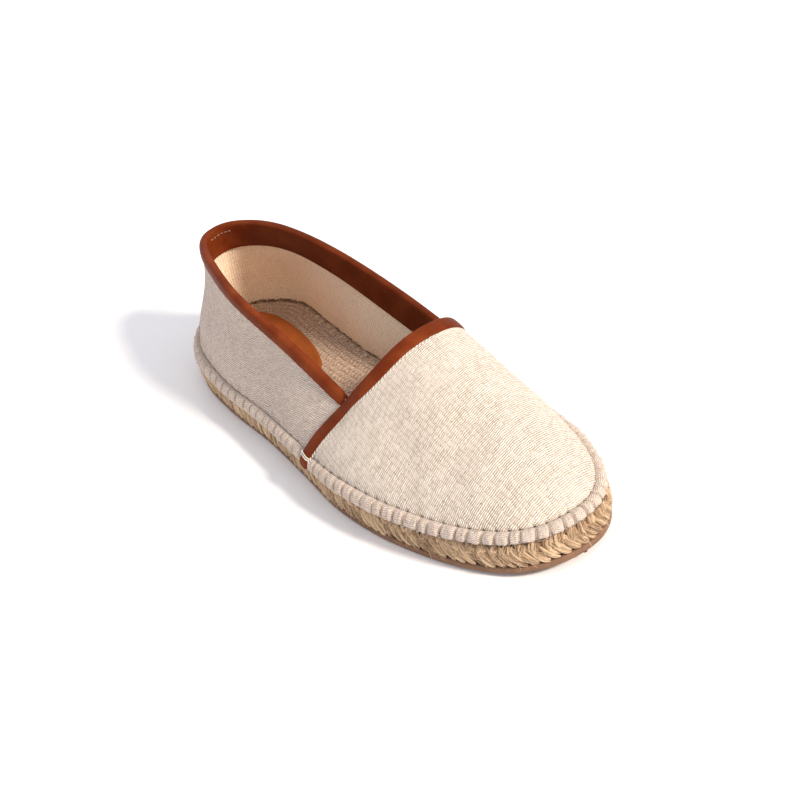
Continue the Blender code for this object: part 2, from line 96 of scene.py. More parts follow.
# Tables of the last and the hem, as in the part's source
OUTLINE = {
    "along": (0.0, 0.035, 0.10, 0.22, 0.36, 0.48, 0.60, 0.70, 0.80, 0.90, 0.96, 1.0),
    "lateral": (0.0, 0.225, 0.370, 0.435, 0.452, 0.490, 0.532, 0.520, 0.465, 0.370, 0.262, -0.020),
    "medial": (0.0, 0.225, 0.330, 0.298, 0.272, 0.312, 0.428, 0.470, 0.458, 0.372, 0.262, 0.020),
}
TOPLINE = {
    "along": (0.0, 0.035, 0.12, 0.24, 0.39, 0.548),
    "lateral": (0.0, 0.116, 0.202, 0.280, 0.282, 0.272),
    "lateral_height": (1.04, 1.05, 1.07, 1.06, 0.92, 0.69),
    "medial": (0.0, 0.130, 0.225, 0.292, 0.345, 0.355),
    "medial_height": (1.04, 1.09, 1.12, 1.06, 0.91, 0.77),
}
THROAT = {
    "across": (0.163, -0.016, -0.225),
    "along": (0.592, 0.605, 0.601),
    "height": (0.85, 1.0, 0.98),
}
MERIDIANS = {
    "along": (0.0, 0.25, 0.515, 0.75, 1.0),
    "start_rise": (0.40, 0.38, 0.26, 0.12, 0.34),
    "end_pull": (0.30, 0.21, 0.32, 0.40, 0.40),
    "end_drop": (0.40, 0.42, 0.27, 0.29, 0.33),
}
FAN = {
    "along": (0.50, 0.515, 0.535, 0.56, 0.60, 0.64, 0.66),
    "sweep": (0.0, 0.0, 0.13, 0.11, 0.04, 0.0, 0.0),
}
HEM = {
    "along": (0.0, 0.08, 0.25, 0.45, 0.65, 0.85, 1.0),
    "height": (1.45, 1.30, 0.78, 0.80, 1.0, 1.0, 1.0),
    "width": (1.0, 0.95, 0.72, 0.78, 1.0, 1.0, 1.0),
    "inset": (0.0, 0.0, -0.15, -0.10, 0.0, 0.25, 0.75),
    "hang": (0.1, 0.3, 1.0, 0.9, 0.3, 0.0, 0.0),
}
RIM = {
    "inset": (0.35, -0.10, -0.12, -0.30, -0.36, -0.20, 0.20, 0.62, 0.90),
    "height": (0.0, 0.0, 0.0, 0.06, 0.32, 0.72, 1.0, 0.97, 0.80),
    "lip": (0.0, 0.0, -0.32, -0.36, -0.20, 0.0, 0.0, 0.0, 0.0),
}

# How deep the stitches pull into the hem, how far each puff leans out over the next, and how much
# flatter the cloth lies than the roll, in metres
PUFFS = {
    "along": (0.0, 0.10, 0.25, 0.45, 0.62, 0.80, 1.0),
    "notch": (0.0012, 0.0010, 0.0007, 0.0006, 0.0006, 0.0009, 0.0014),
    "lean": (0.0004, 0.0004, 0.0004, 0.0004, 0.0005, 0.0006, 0.0006),
    "slim": (0.0005, 0.0007, 0.0007, 0.0005, 0.0004, 0.0005, 0.0006),
}

# The hem's stitches: their spacing, in metres, and how wide and uneven they are, as shares of it
HEM_PITCH = 0.0062
NOTCH_WIDTH = 0.11
STITCH_STRAY = 0.18

# Puffs: how much their sizes vary, where each turns from low to high, and how round it is, in metres.
# Up the hem the roll has a start and a length, and the pit above it a place, a width and a depth
PUFF_SIZES = 0.8
PUFF_LOW_END = 0.45
PUFF_CROWN = 0.0003
ROLL_START, ROLL_LENGTH = 0.12, 0.80
PIT_PLACE, PIT_WIDTH, PIT_SHARE = 0.93, 0.10, 0.12

# Ripples in the hem: height in metres, waves from stitch to stitch, and slant up the roll
RIPPLES = ((0.00013, 11.3, 9.0), (0.00007, 31.7, -27.0))

# The canvas above the hem: how far the stitches draw it in, as a share of a notch, how far it swells
# between them, in metres, and how high up the canvas both reach, as shares. Creases fade at both edges
PUCKER_SHARE, PUCKER_REACH = 0.25, 0.05
SWELL, SWELL_PLACE, SWELL_REACH = 0.0008, 0.04, 0.05
CREASE_FADE = 8
QUARTER_EASE = 1.15

# The hem's thread: the rows of RIM that it covers, the share of a notch that it lies in, and its radius
STITCH_ROWS = (2.6, 7.7)
STITCH_DEPTH_SHARE = 0.75
HEM_THREAD = 0.00032

# The braid on top of the jute, and the tread under the rubber, in metres
BRAID_ROW = 0.0030
BRAID_KNUCKLE = 0.0021
BRAID_SLANT = 0.9
BRAID_RELIEF = 0.0007
BRAID_VALLEY = 0.60
BRAID_INSET = 0.0025
INSOLE_END = 0.004
TREAD_PITCH = 0.0042
TREAD_DEPTH = 0.0006
TREAD_WAVE = 0.0016
TREAD_BENDS = 14
TREAD_INSET = 0.0114
TREAD_PLAIN_END = 0.012

# Sections: inset from the outline and height over the jute's foot, or over the floor for the outsole,
# and the heel pad's rings, as shares of its size and its thickness
CORE_LEVELS = ((0.0036, 0.0), (0.0036, 0.0070), (0.0036, 0.0092), (0.0070, 0.0105))
OUTSOLE_LEVELS = (
    (0.0120, 0.0006),
    (0.0110, 0.0000),
    (0.0010, 0.0000),
    (0.0003, 0.0002),
    (0.0, 0.0008),
    (-0.0001, 0.0020),
    (0.0, 0.0028),
    (0.0004, OUTSOLE_THICKNESS),
    (0.0050, OUTSOLE_THICKNESS),
)
PAD_SECTION = {
    "share": (1.0, 1.0, 0.985, 0.955, 0.90, 0.86, 0.80, 0.60, 0.40, 0.20, 0.0),
    "height": (0.0, 0.55, 0.85, 1.0, 1.0, 0.90, 1.0, 1.0, 1.0, 1.0, 1.0),
}

# Loose fibres: how many, their sizes in metres, and how far they turn aside, stand off and curl
FIBRES = 2800
FIBRE_RADII = (0.00010, 0.00004)
FIBRE_LENGTHS = (0.0012, 0.0036)
FIBRE_TURN, FIBRE_LIFT, FIBRE_CURL = 0.45, 0.28, 0.25
SEAM_FIBRES = 2600
LINT_RADII = (0.00015, 0.00008)
LINT_LENGTHS = (0.0005, 0.0012)
LINT_HEIGHTS = (-0.0002, 0.0012)
LINT_CURL = 0.5
FIBRE_FLOOR = 0.0006

# Stitches: pitch, length, slant and thread radius of each run, and how far they rise, lie and sink
VAMP_RUN = {"pitch": 0.0018, "length": 0.0016, "slant": 0.8, "radius": 0.00028}
HEEL_RUN = {"pitch": 0.0020, "length": 0.0012, "slant": 0.0, "radius": 0.00017}
STITCH_RISE = 0.0004
THREAD_LIFT = 0.0002
STITCH_SINK = 0.25
DASH_STRAY = 0.12
DASH_LENGTHS = (0.75, 1.1)
COLLAR_RUN_ON = 0.0016
HEEL_STITCHES = (-2, 1)
HEEL_STITCH_DROP = 0.35

# The thread over each end of the vamp's leather: which sections, how loosely it goes round them, as a
# share and in metres, where its two turns lie, and its radius
END_SECTIONS = (3, -4)
END_LOOSE, END_LIFT = 1.12, 0.0003
END_TURNS = (-0.0005, 0.0004)
END_THREAD = 0.0003

# Looks: shares of the canvas's weave and of its painted shading, and how deep each fine relief is, in
# metres
CANVAS = {
    "drift": 1.3,
    "shift": 0.4,
    "arch": 0.6,
    "end": 0.42,
    "across": 1.4,
    "slub": 0.8,
    "relief_painted_shading": 0.85,
    "cell_tone": 0.28,
}
WEAVE_DEPTH = 0.0004
PORE_DEPTH = 0.00006
GRAIN_DEPTH = 0.00012
STREAK_DEPTH = 0.00028
CLUMP_DEPTH = 0.00044
BRAID_DEPTH = 0.0005
PLY_DEPTH = 0.0001
TUBE_SHIFT = (0.0137, 0.0091)

# How finely the pieces and the curves are divided
LEATHER_ROUNDING = 2
HEM_ROWS = 25
STEPS_PER_STITCH = 14
VAMP_GRID = (3, 56)
QUARTER_GRID = (170, 48)
LINING_GRID = (300, 26)
INSOLE_GRID = (560, 170)
TREAD_GRID = (560, 24)
CORE_COLUMNS = 360
OUTSOLE_COLUMNS = 420
PAD_COLUMNS = 120
BRAID_COLUMNS = 1400
STRAND_PLACES = 14
THREAD_PLACES = 9
DASH_PLACES = 7
BAND_PLACES = 12
FIBRE_PLACES = 5
THREAD_SIDES = 8
FIBRE_SIDES = 4
CURVE_STEPS = 400
ANGLE_STEPS = 1600
OUTLINE_STEPS = 4000

# Soft troughs and ridges in the canvas: where, which way they run, and their sizes, in metres
CREASES = {
    "x": (0.030, 0.034, 0.037, 0.040, -0.028, -0.026, 0.010, -0.020, 0.030, 0.000),
    "y": (0.014, 0.021, 0.045, 0.100, 0.030, 0.075, 0.215, 0.200, 0.195, 0.178),
    "heading": (35, 20, 0, 5, 160, 170, 20, -25, 60, 5),
    "length": (0.015, 0.015, 0.012, 0.014, 0.012, 0.012, 0.026, 0.022, 0.022, 0.030),
    "width": (0.0030, 0.0035, 0.0080, 0.0090, 0.0050, 0.0070, 0.0080, 0.0070, 0.0070, 0.0100),
    "depth": (-0.0018, 0.0015, -0.0010, -0.0010, -0.0008, 0.0005, -0.0010, 0.0008, -0.0009, 0.0007),
}

# Weaves: the step along a yarn float, then the step to the float beside it, in metres along the cloth
WEAVES = {
    "vamp": ((0.00246, 0.00039), (0.0, 0.00097)),
    "quarter": ((0.0014, 0.0001), (0.0003, 0.00105)),
    "hem": ((0.0016, 0.0005), (0.0, 0.0009)),
    "lining": ((0.0, 0.0022), (-0.0013, 0.0)),
}

# The two tiers of strands round the jute slab: lean along the sole, inset and height from end to end
LOW_TIER = {
    "name": "low_strands",
    "pitch": 0.0047,
    "phase": 0.3,
    "radius": 0.0019,
    "plies": 4,
    "lean": (-0.0044, -0.0018, 0.0006, 0.0030, 0.0050),
    "inset": (0.0048, 0.0028, 0.0020, 0.0017, 0.0018),
    "height": (0.0084, 0.0072, 0.0047, 0.0022, 0.0009),
    "along": (0.0, 0.3, 0.6, 0.85, 1.0),
    "droop": (0.0014, 0.0016, 0.0014, 0.0003, 0.0),
}
HIGH_TIER = {
    "name": "high_strands",
    "pitch": 0.0057,
    "phase": 0.0,
    "radius": 0.0021,
    "plies": 4,
    "lean": (0.0012, 0.0006, -0.0004, -0.0006, 0.0004, 0.0018),
    "inset": (0.0094, 0.0058, 0.0030, 0.0023, 0.0028, 0.0044),
    "height": (0.0096, 0.0096, 0.0088, 0.0070, 0.0054, 0.0046),
    "along": (0.0, 0.5, 1.0),
    "droop": (0.0, 0.0, 0.0),
}

# How much of that lean the strands have, from the heel to the toe
STRAND_LEAN = {
    "along": (0.0, 0.3, 0.55, 0.8, 1.0),
    "share": (0.25, 0.30, 0.45, 0.95, 1.0),
}

# The plies of a strand: how they lie, as shares of its radius, and how uneven they are
PLY_SPREAD = 0.76
PLY_THICKNESS = 0.80
PLY_ARCH = 0.62
PLY_ROUND = 0.86
PLY_SIZES = (0.78, 1.16)
PLY_TWIST = {"lobes": 2, "depth": 0.14, "twist": 9.0}
PLY_WAVES = 7
PLY_LAG = 2.1
STRAND_SIZES = 0.08
STRAND_TAPER = (0.12, 0.88)
STRAND_TILT = 0.35

# How far plies and strands stray, in metres, and the shares of that along, in and up
PLY_STRAY = 0.00018
PLY_WAVE = 0.00022
STRAND_STRAY = 0.00022
STRAY_ALONG, STRAY_IN, STRAY_UP = 1.4, 0.6, 0.4

# Colours, linear. Each *_SHADE colour is painted shade for the hollows between the yarns of its cloth
CREAM = (0.93, 0.83, 0.715)
CREAM_SHADE = (0.36, 0.27, 0.20)
# The hem's canvas is coloured darker and greyer than the vamp's: painted shade, as the hem's roll lies in
# shade
HEM_CREAM_IN_PAINTED_SHADE = (0.82, 0.70, 0.60)
HEM_SHADE = (0.46, 0.35, 0.28)
GREY_CREAM = (0.77, 0.655, 0.57)
GREY_CREAM_SHADE = (0.34, 0.26, 0.205)
LINING_LIGHT = (0.95, 0.79, 0.60)
LINING_SHADE = (0.80, 0.60, 0.42)
COGNAC = (0.135, 0.022, 0.005)
COGNAC_LIGHT = (0.205, 0.042, 0.011)
PAD_TAN = (0.270, 0.070, 0.016)
JUTE_LIGHT = (0.76, 0.56, 0.36)
JUTE_DARK = (0.22, 0.125, 0.065)
BRAID_LIGHT = (0.86, 0.64, 0.47)
BRAID_DARK = (0.25, 0.145, 0.09)
RUBBER_BROWN = (0.185, 0.098, 0.056)
THREAD_WHITE = (0.86, 0.80, 0.70)
# Dark brown thread, chosen dark so that in the hem's notches it paints their shade; also the heel's
# stitches
DARK_THREAD_AND_NOTCH_SHADE = (0.50, 0.36, 0.27)

# The photograph's view: azimuth from the toe towards the outer side, in degrees and metres
VIEW_AZIMUTH = 29.0
VIEW_ELEVATION = 34.1
VIEW_ROLL = 13.0
VIEW_DISTANCE = 0.8997
VIEW_TARGET = (-0.00377, 0.1424, 0.0200)
FOCAL_PIXELS = 2033.9
PICTURE_SIDE = 800
SENSOR_WIDTH = 36.0

# Light: the key comes from over the inner side of the toe
KEY_FROM = (-0.38, 0.92, 0.76)
KEY_ANGLE = 11.0
KEY_POWER = 3.75
KEY_COLOUR = (1.0, 0.90, 0.78)
ROOM_LIGHT = 0.85
ROOM_COLOUR = (0.97, 0.96, 1.0, 1.0)
FLOOR_COLOUR = (0.97, 0.97, 0.98, 1.0)
FLOOR_REACH = 6.0

FULL = 2 * math.pi
random = np.random.default_rng(7)


def smooth(keys, values, at):
    """Read a table: a cubic curve through its rows, at the given keys."""
    keys = np.asarray(keys, float)
    values = np.asarray(values, float)
    slopes = np.gradient(values, keys, edge_order=2)
    at = np.clip(at, keys[0], keys[-1])
    row = np.clip(np.searchsorted(keys, at, side="right") - 1, 0, len(keys) - 2)
    span = keys[row + 1] - keys[row]
    t = (at - keys[row]) / span
    rise = values[row + 1] - values[row]
    bend = (slopes[row] + slopes[row + 1]) * span - 2 * rise
    return values[row] + t * (slopes[row] * span + t * (rise - slopes[row] * span - bend + t * bend))


def angle_at(along):
    return np.arccos(1 - 2 * np.clip(along, 0, 1))


def folded(angles):
    """Outline angles of the medial side turned into those of the same place along the shoe."""
    return np.where(angles > math.pi, FULL - angles, angles)


def table_at(table, name, angles):
    """Reads a column of a table that runs along the shoe, at these outline angles."""
    return smooth(angle_at(np.array(table["along"])), table[name], folded(angles))


def share_at(angles):
    """Share of the sole's length at these outline angles."""
    return (1 - np.cos(folded(angles))) / 2


def outline(angle):
    """Plan points of the sole's edge: 0 is the heel, pi the toe, and past pi the medial side comes back."""
    angle = np.asarray(angle, float)
    lateral = table_at(OUTLINE, "lateral", angle)
    medial = -table_at(OUTLINE, "medial", angle)
    x = np.where(angle > math.pi, medial, lateral) * BALL_WIDTH
    return np.stack([x, share_at(angle) * SOLE_LENGTH], axis=-1)


def outward(angle):
    """Unit normals of the outline in plan."""
    step = 0.01
    angle = np.asarray(angle, float)
    run = outline(np.mod(angle + step, FULL)) - outline(np.mod(angle - step, FULL))
    normal = np.stack([run[..., 1], -run[..., 0]], axis=-1)
    return normal / np.linalg.norm(normal, axis=-1, keepdims=True)


def spring(y):
    rise = np.clip((y / SOLE_LENGTH - SPRING_START) / (1 - SPRING_START), 0, None)
    return TOE_SPRING * rise**2


def sole_top(y):
    return OUTSOLE_THICKNESS + GAP + JUTE_THICKNESS + spring(y)


def unit(vectors):
    return vectors / np.linalg.norm(vectors, axis=-1, keepdims=True)


def run_lengths(points):
    steps = np.linalg.norm(np.diff(points, axis=0), axis=1)
    return np.concatenate([[0.0], np.cumsum(steps)])


def angles_between(start, end, shares):
    """Outline angles from start to end, at these shares of the run between them."""
    fine = np.linspace(start, end, ANGLE_STEPS)
    run = run_lengths(outline(fine))
    return np.interp(np.asarray(shares) * run[-1], run, fine)


def points_along(curve, shares):
    run = run_lengths(curve)
    at = np.asarray(shares) * run[-1]
    return np.stack([np.interp(at, run, curve[:, axis]) for axis in range(3)], axis=1)


def at_row(line, row):
    return np.array([np.interp(row, np.arange(len(line)), line[:, axis]) for axis in range(3)])


def topline(side):
    """Edge of the collar, from its back to the throat corner on one side."""
    turn = np.linspace(0, angle_at(TOPLINE["along"][-1]), CURVE_STEPS)
    sign = 1 if side == "lateral" else -1
    x = sign * table_at(TOPLINE, side, turn) * BALL_WIDTH
    y = (TOPLINE_BACK + share_at(turn)) * SOLE_LENGTH
    z = table_at(TOPLINE, side + "_height", turn) * HEEL_HEIGHT
    return np.stack([x, y, z], axis=1)


def throat():
    """Edge of the vamp over the instep, from the lateral corner to the medial one."""
    sizes = (BALL_WIDTH, SOLE_LENGTH, INSTEP_HEIGHT)
    middle = np.column_stack([THROAT[name] for name in ("across", "along", "height")]) * sizes
    knots = np.vstack([topline("lateral")[-1], middle, topline("medial")[-1]])
    keys = run_lengths(knots)
    at = np.linspace(0, keys[-1], CURVE_STEPS)
    return np.stack([smooth(keys, knots[:, axis], at) for axis in range(3)], axis=1)


def step_ends(count, length):
    shares = np.linspace(0, 1, count + 1)
    shares[0] = GAP / length
    shares[-1] = 1 - GAP / length
    return shares


def wall_columns(quarters, vamp_count):
    """Where each column of the upper starts on the sole and ends on the opening, round from the heel."""
    back = quarters[:0:-1]
    toe_run = run_lengths(outline(np.linspace(CORNER, FULL - CORNER, 2 * CURVE_STEPS)))[-1]
    throat_run = run_lengths(throat())[-1]
    angles = np.concatenate(
        [
            angles_between(0, CORNER, quarters),
            angles_between(CORNER, FULL - CORNER, step_ends(vamp_count, toe_run)),
            angles_between(FULL, FULL - CORNER, back),
        ]
    )
    edges = np.concatenate(
        [
            points_along(topline("lateral"), quarters),
            points_along(throat(), step_ends(vamp_count, throat_run)),
            points_along(topline("medial"), back),
        ]
    )
    raised = np.concatenate([np.zeros(len(quarters)), np.ones(vamp_count + 1), np.zeros(len(back))])
    return angles, edges, raised


def hem_at(angles):
    return {name: table_at(HEM, name, angles) for name in ("height", "width", "inset", "hang")}


def wall_surface(angles, edges, rows):
    """Outer face of the canvas wall, a grid of columns and rows, from the groove to the opening."""
    hem = hem_at(angles)
    start = outline(angles) - outward(angles) * (hem["width"] + hem["inset"])[:, None] * RIM_WIDTH
    groove = GROOVE_HEIGHT * RIM_HEIGHT * hem["height"]
    foot = np.column_stack([start, sole_top(start[:, 1]) + GAP + groove])
    names = ("start_rise", "end_pull", "end_drop")
    rise, pull, drop = (table_at(MERIDIANS, name, angles)[:, None] for name in names)
    up = np.array([0.0, 0.0, 1.0])
    height = (edges[:, 2] - foot[:, 2])[:, None]
    inward = (edges - foot) * np.array([1.0, 1.0, 0.0])
    low = foot + up * rise * height
    high = edges - inward * pull - up * drop * height
    high[:, 1] += smooth(FAN["along"], FAN["sweep"], share_at(angles)) * INSTEP_HEIGHT
    t = np.linspace(0, 1, rows)[None, :, None]
    foot, low, high, top = (points[:, None, :] for points in (foot, low, high, edges))
    return (1 - t) ** 3 * foot + 3 * t * (1 - t) ** 2 * low + 3 * t**2 * (1 - t) * high + t**3 * top


def grid_normals(grid):
    """Unit normals at the points of a grid that closes on itself from its last column to its first."""
    after = np.roll(grid, -1, axis=0)
    faces = np.cross(after[:, 1:] - grid[:, :-1], grid[:, 1:] - after[:, :-1])
    total = np.zeros_like(grid)
    for rows in (slice(0, -1), slice(1, None)):
        total[:, rows] += faces
        total[:, rows] += np.roll(faces, 1, axis=0)
    total[:, 0, 2] = 0
    return unit(total)


def wall_normals(wall):
    """Unit normals of the wall; two columns only a gap apart, at an edge of the vamp, share theirs."""
    width = np.linalg.norm(np.roll(wall, -1, axis=0) - wall, axis=2).max(axis=1)
    twins = np.flatnonzero(width < 3 * GAP)
    single = np.delete(np.arange(len(wall)), twins)
    normals = np.empty_like(wall)
    eased = grid_normals(wall[single])
    for _ in range(NORMAL_EASINGS):
        eased = np.roll(eased, 1, axis=0) / 4 + eased / 2 + np.roll(eased, -1, axis=0) / 4
        eased[:, 1:-1] = eased[:, :-2] / 4 + eased[:, 1:-1] / 2 + eased[:, 2:] / 4
    normals[single] = unit(eased)
    normals[twins] = normals[twins + 1]
    return normals


def rim_rows(angles, places=range(len(RIM["inset"]))):
    """The rolled hem outside the groove, a grid of columns and rows; places are rows of RIM."""
    edge = outline(angles)
    away = outward(angles)
    hem = hem_at(angles)
    keys = np.arange(len(RIM["inset"]))
    rows = []
    for place in places:
        names = ("inset", "height", "lip")
        inset, height, lip = (float(smooth(keys, RIM[name], place)) for name in names)
        reach = inset * (hem["width"] if inset > 0 else 1) + hem["inset"]
        plan = edge - away * reach[:, None] * RIM_WIDTH
        rise = (height * hem["height"] + lip * hem["hang"]) * RIM_HEIGHT
        rows.append(np.column_stack([plan, sole_top(plan[:, 1]) + GAP + rise]))
    return np.stack(rows, axis=1)


def collar_end_share():
    run = run_lengths(outline(np.linspace(0, CORNER, CURVE_STEPS)))[-1]
    return 1 - COLLAR_STOP / run


def quarter_shares(count):
    shares = np.linspace(0, 1, count + 1) ** QUARTER_CROWDING
    return np.insert(shares, -1, collar_end_share())


def coarse_wall():
    """The part's own wall: outline angles, opening points, raise, points and eased normals."""
    angles, edges, raised = wall_columns(quarter_shares(QUARTER_COLUMNS), VAMP_COLUMNS)
    wall = wall_surface(angles, edges, WALL_ROWS)
    return angles, edges, raised, wall, wall_normals(wall)


def origin_shift():
    """From the last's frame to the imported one: the jute sole's crests lie on the outline."""
    low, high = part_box("jute_sole")
    edge = outline(np.linspace(0, FULL, OUTLINE_STEPS // 2))
    return np.array([high[0] - edge[:, 0].max(), low[1] - edge[:, 1].min(), 0.0])


SHIFT = origin_shift()
CORNER = float(angle_at(VAMP_LINE))
WALL_ANGLES, WALL_EDGES, WALL_RAISED, WALL, WALL_NORMALS = coarse_wall()
WALL_INNER = WALL - WALL_NORMALS * CANVAS_WALL
PERIMETER = run_lengths(outline(np.linspace(0, FULL, OUTLINE_STEPS)))[-1]
STITCHES = int(round(PERIMETER / HEM_PITCH))
STITCH_DRIFT = random.uniform(-STITCH_STRAY, STITCH_STRAY, STITCHES + 1)
STITCH_DRIFT[[0, -1]] = 0.0


def placed(points):
    return np.asarray(points) + SHIFT


def even_angles(count):
    """Outline angles at even steps once round the sole from the heel, without the closing one."""
    return angles_between(0, FULL, np.arange(count) / count)


def stitch_place(angles):
    """How many stitches from the heel each outline angle is; their spacing is uneven, as in hand work."""
    fine = np.linspace(0, FULL, OUTLINE_STEPS)
    run = run_lengths(outline(fine))
    even = np.interp(angles, fine, run) / run[-1] * STITCHES
    return np.interp(even, np.arange(STITCHES + 1) + STITCH_DRIFT, np.arange(STITCHES + 1))


def stitch_angles():
    """Outline angle of each stitch."""
    return angles_between(0, FULL, (np.arange(STITCHES) + STITCH_DRIFT[:-1]) / STITCHES)


def notches(angles):
    """1 where a stitch pulls the hem in, falling to 0 between stitches."""
    off = stitch_place(angles)
    off = off - np.round(off)
    return np.exp(-((off / NOTCH_WIDTH) ** 2))


def crease_heights(points):
    """How far the canvas stands off its smooth form at these points."""
    total = np.zeros(points.shape[:-1])
    table = zip(*(CREASES[name] for name in ("x", "y", "heading", "length", "width", "depth")))
    for x, y, heading, length, width, depth in table:
        turn = math.radians(heading)
        away = points[..., :2] - (x, y)
        along = away[..., 0] * math.cos(turn) + away[..., 1] * math.sin(turn)
        across = away[..., 1] * math.cos(turn) - away[..., 0] * math.sin(turn)
        total += depth * np.exp(-((along / length) ** 2) - (across / width) ** 2)
    return total


def new_object(name, mesh, material, replaces=()):
    """Links a mesh as a piece that rides on the one body, and stands for the named nodes."""
    mesh.materials.append(material)
    obj = bpy.data.objects.new(name, mesh)
    bpy.context.scene.collection.objects.link(obj)
    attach(obj, "root")
    if replaces:
        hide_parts(*replaces)
    return obj


def mesh_of(name, points, faces, uv):
    """A smooth mesh of these points in the last's frame, with a UV for each corner of each face."""
    mesh = bpy.data.meshes.new(name)
    mesh.from_pydata(placed(points).reshape(-1, 3).tolist(), [], faces)
    mesh.uv_layers.new(name="UVMap").data.foreach_set("uv", uv.ravel())
    mesh.shade_smooth()
    return mesh


def strip_uv(grid, wrap):
    """UVs in metres from the run along the middle row and the run up each column."""
    closed = np.concatenate([grid, grid[:1]]) if wrap else grid
    along = run_lengths(closed[:, closed.shape[1] // 2])
    up = np.stack([run_lengths(column) for column in closed])
    return np.stack([np.broadcast_to(along[:, None], up.shape), up], axis=-1)


def sheet_mesh(name, grid, wrap=False, uv=None):
    """A grid of columns and rows as quads. If it wraps, its last column meets its first one."""
    columns, rows = grid.shape[:2]
    spans = columns if wrap else columns - 1
    uv = strip_uv(grid, wrap) if uv is None else uv
    i = np.repeat(np.arange(spans), rows - 1)
    j = np.tile(np.arange(rows - 1), spans)
    corners = [(i, j), (i + 1, j), (i + 1, j + 1), (i, j + 1)]
    faces = np.stack([(a % columns) * rows + b for a, b in corners], axis=1)
    return mesh_of(name, grid, faces.tolist(), np.stack([uv[a, b] for a, b in corners], axis=1))


def add_ring(name, grid, material, node):
    """Adds a grid that closes on itself, as a piece that stands for a node."""
    new_object(name, sheet_mesh(name, grid, wrap=True), material, [node])


def add_solid(name, sections, material, node):
    """Adds a solid swept through closed sections, with flat caps and corners rounded by subdivision."""
    sections = np.asarray(sections)
    places, count = sections.shape[:2]
    i = np.repeat(np.arange(places - 1), count)
    j = np.tile(np.arange(count), places - 1)
    corners = [(i, j), (i, j + 1), (i + 1, j + 1), (i + 1, j)]
    faces = np.stack([a * count + b % count for a, b in corners], axis=1).tolist()
    faces.append(list(range(count))[::-1])
    faces.append(list(range((places - 1) * count, places * count)))
    along = run_lengths(sections.mean(axis=1))
    middle = sections[places // 2]
    around = run_lengths(np.concatenate([middle, middle[:1]]))
    sides = np.stack([np.stack([along[a], around[b]], axis=1) for a, b in corners], axis=1)
    ends = [(along[0], run) for run in around[-2::-1]] + [(along[-1], run) for run in around[:-1]]
    mesh = mesh_of(name, sections, faces, np.concatenate([sides.reshape(-1, 2), ends]))
    solid = bmesh.new()
    solid.from_mesh(mesh)
    bmesh.ops.recalc_face_normals(solid, faces=solid.faces)
    solid.to_mesh(mesh)
    solid.free()
    obj = new_object(name, mesh, material, [node])
    modifier = obj.modifiers.new("rounding", "SUBSURF")
    modifier.levels = modifier.render_levels = LEATHER_ROUNDING


def add_tubes(name, paths, ups, radii, sides, material, slot, nodes=(), lobes=0, depth=0.0, twist=0.0):
    """Adds many tubes as one piece: paths are tubes, places and points, and radii run along each tube.

    A tube with lobes bulges that often round its section, by depth as a share, and twists on its way.
    """
    tubes, places = paths.shape[:2]
    tangent = unit(np.gradient(paths, axis=1))
    across = unit(np.cross(tangent, ups))
    up = np.cross(across, tangent)
    turn = np.linspace(0, FULL, sides, endpoint=False)
    place = np.arange(places)[:, None] / (places - 1)
    radii = np.broadcast_to(np.asarray(radii), (tubes, places))[:, :, None]
    reach = radii * (1 + depth * np.cos(lobes * turn + twist * place))[None]
    points = (
        paths[:, :, None]
        + across[:, :, None] * (np.cos(turn) * reach)[..., None]
        + up[:, :, None] * (np.sin(turn) * reach)[..., None]
    )
    t = np.repeat(np.arange(tubes), (places - 1) * sides)
    i = np.tile(np.repeat(np.arange(places - 1), sides), tubes)
    j = np.tile(np.arange(sides), tubes * (places - 1))
    first = (t * places + i) * sides
    k = (j + 1) % sides
    faces = np.stack([first + j, first + k, first + sides + k, first + sides + j], axis=1).tolist()
    for start in range(0, tubes * places * sides, places * sides):
        end = start + (places - 1) * sides
        faces.append(list(range(start, start + sides))[::-1])
        faces.append(list(range(end, end + sides)))
    run = np.stack([run_lengths(path) for path in paths]) + np.arange(tubes)[:, None] * TUBE_SHIFT[0]
    girth = float(radii.max()) * FULL / sides
    u = np.stack([run[t, i], run[t, i], run[t, i + 1], run[t, i + 1]], axis=1)
    v = np.stack([j, j + 1, j + 1, j], axis=1) * girth + (t * TUBE_SHIFT[1])[:, None]
    uv = np.stack([u, v], axis=-1).reshape(-1, 2)
    mesh = mesh_of(name, points, faces, np.concatenate([uv, np.zeros((tubes * 2 * sides, 2))]))
    tone = mesh.attributes.new("tone", "FLOAT", "POINT")
    tone.data.foreach_set("value", np.repeat(random.random(tubes), places * sides))
    new_object(name, mesh, material, nodes)


class Value:
    """What a node of a material gives out. Reckoning with it adds the nodes that do the same."""

    def __init__(self, wire, socket):
        self.wire = wire
        self.socket = socket

    def math(self, operation, other=0.0):
        return self.wire.node("ShaderNodeMath", {0: self, 1: other}, operation=operation)

    def __add__(self, other):
        return self.math("ADD", other)

    def __sub__(self, other):
        return self.math("SUBTRACT", other)

    def __mul__(self, other):
        return self.math("MULTIPLY", other)

    def __pow__(self, other):
        return self.math("POWER", other)

    def spread(self, low, high, to_low=0.0, to_high=1.0):
        """Softly turns low to high into another range."""
        span = {0: self, 1: low, 2: high, 3: to_low, 4: to_high}
        return self.wire.node("ShaderNodeMapRange", span, interpolation_type="SMOOTHSTEP")


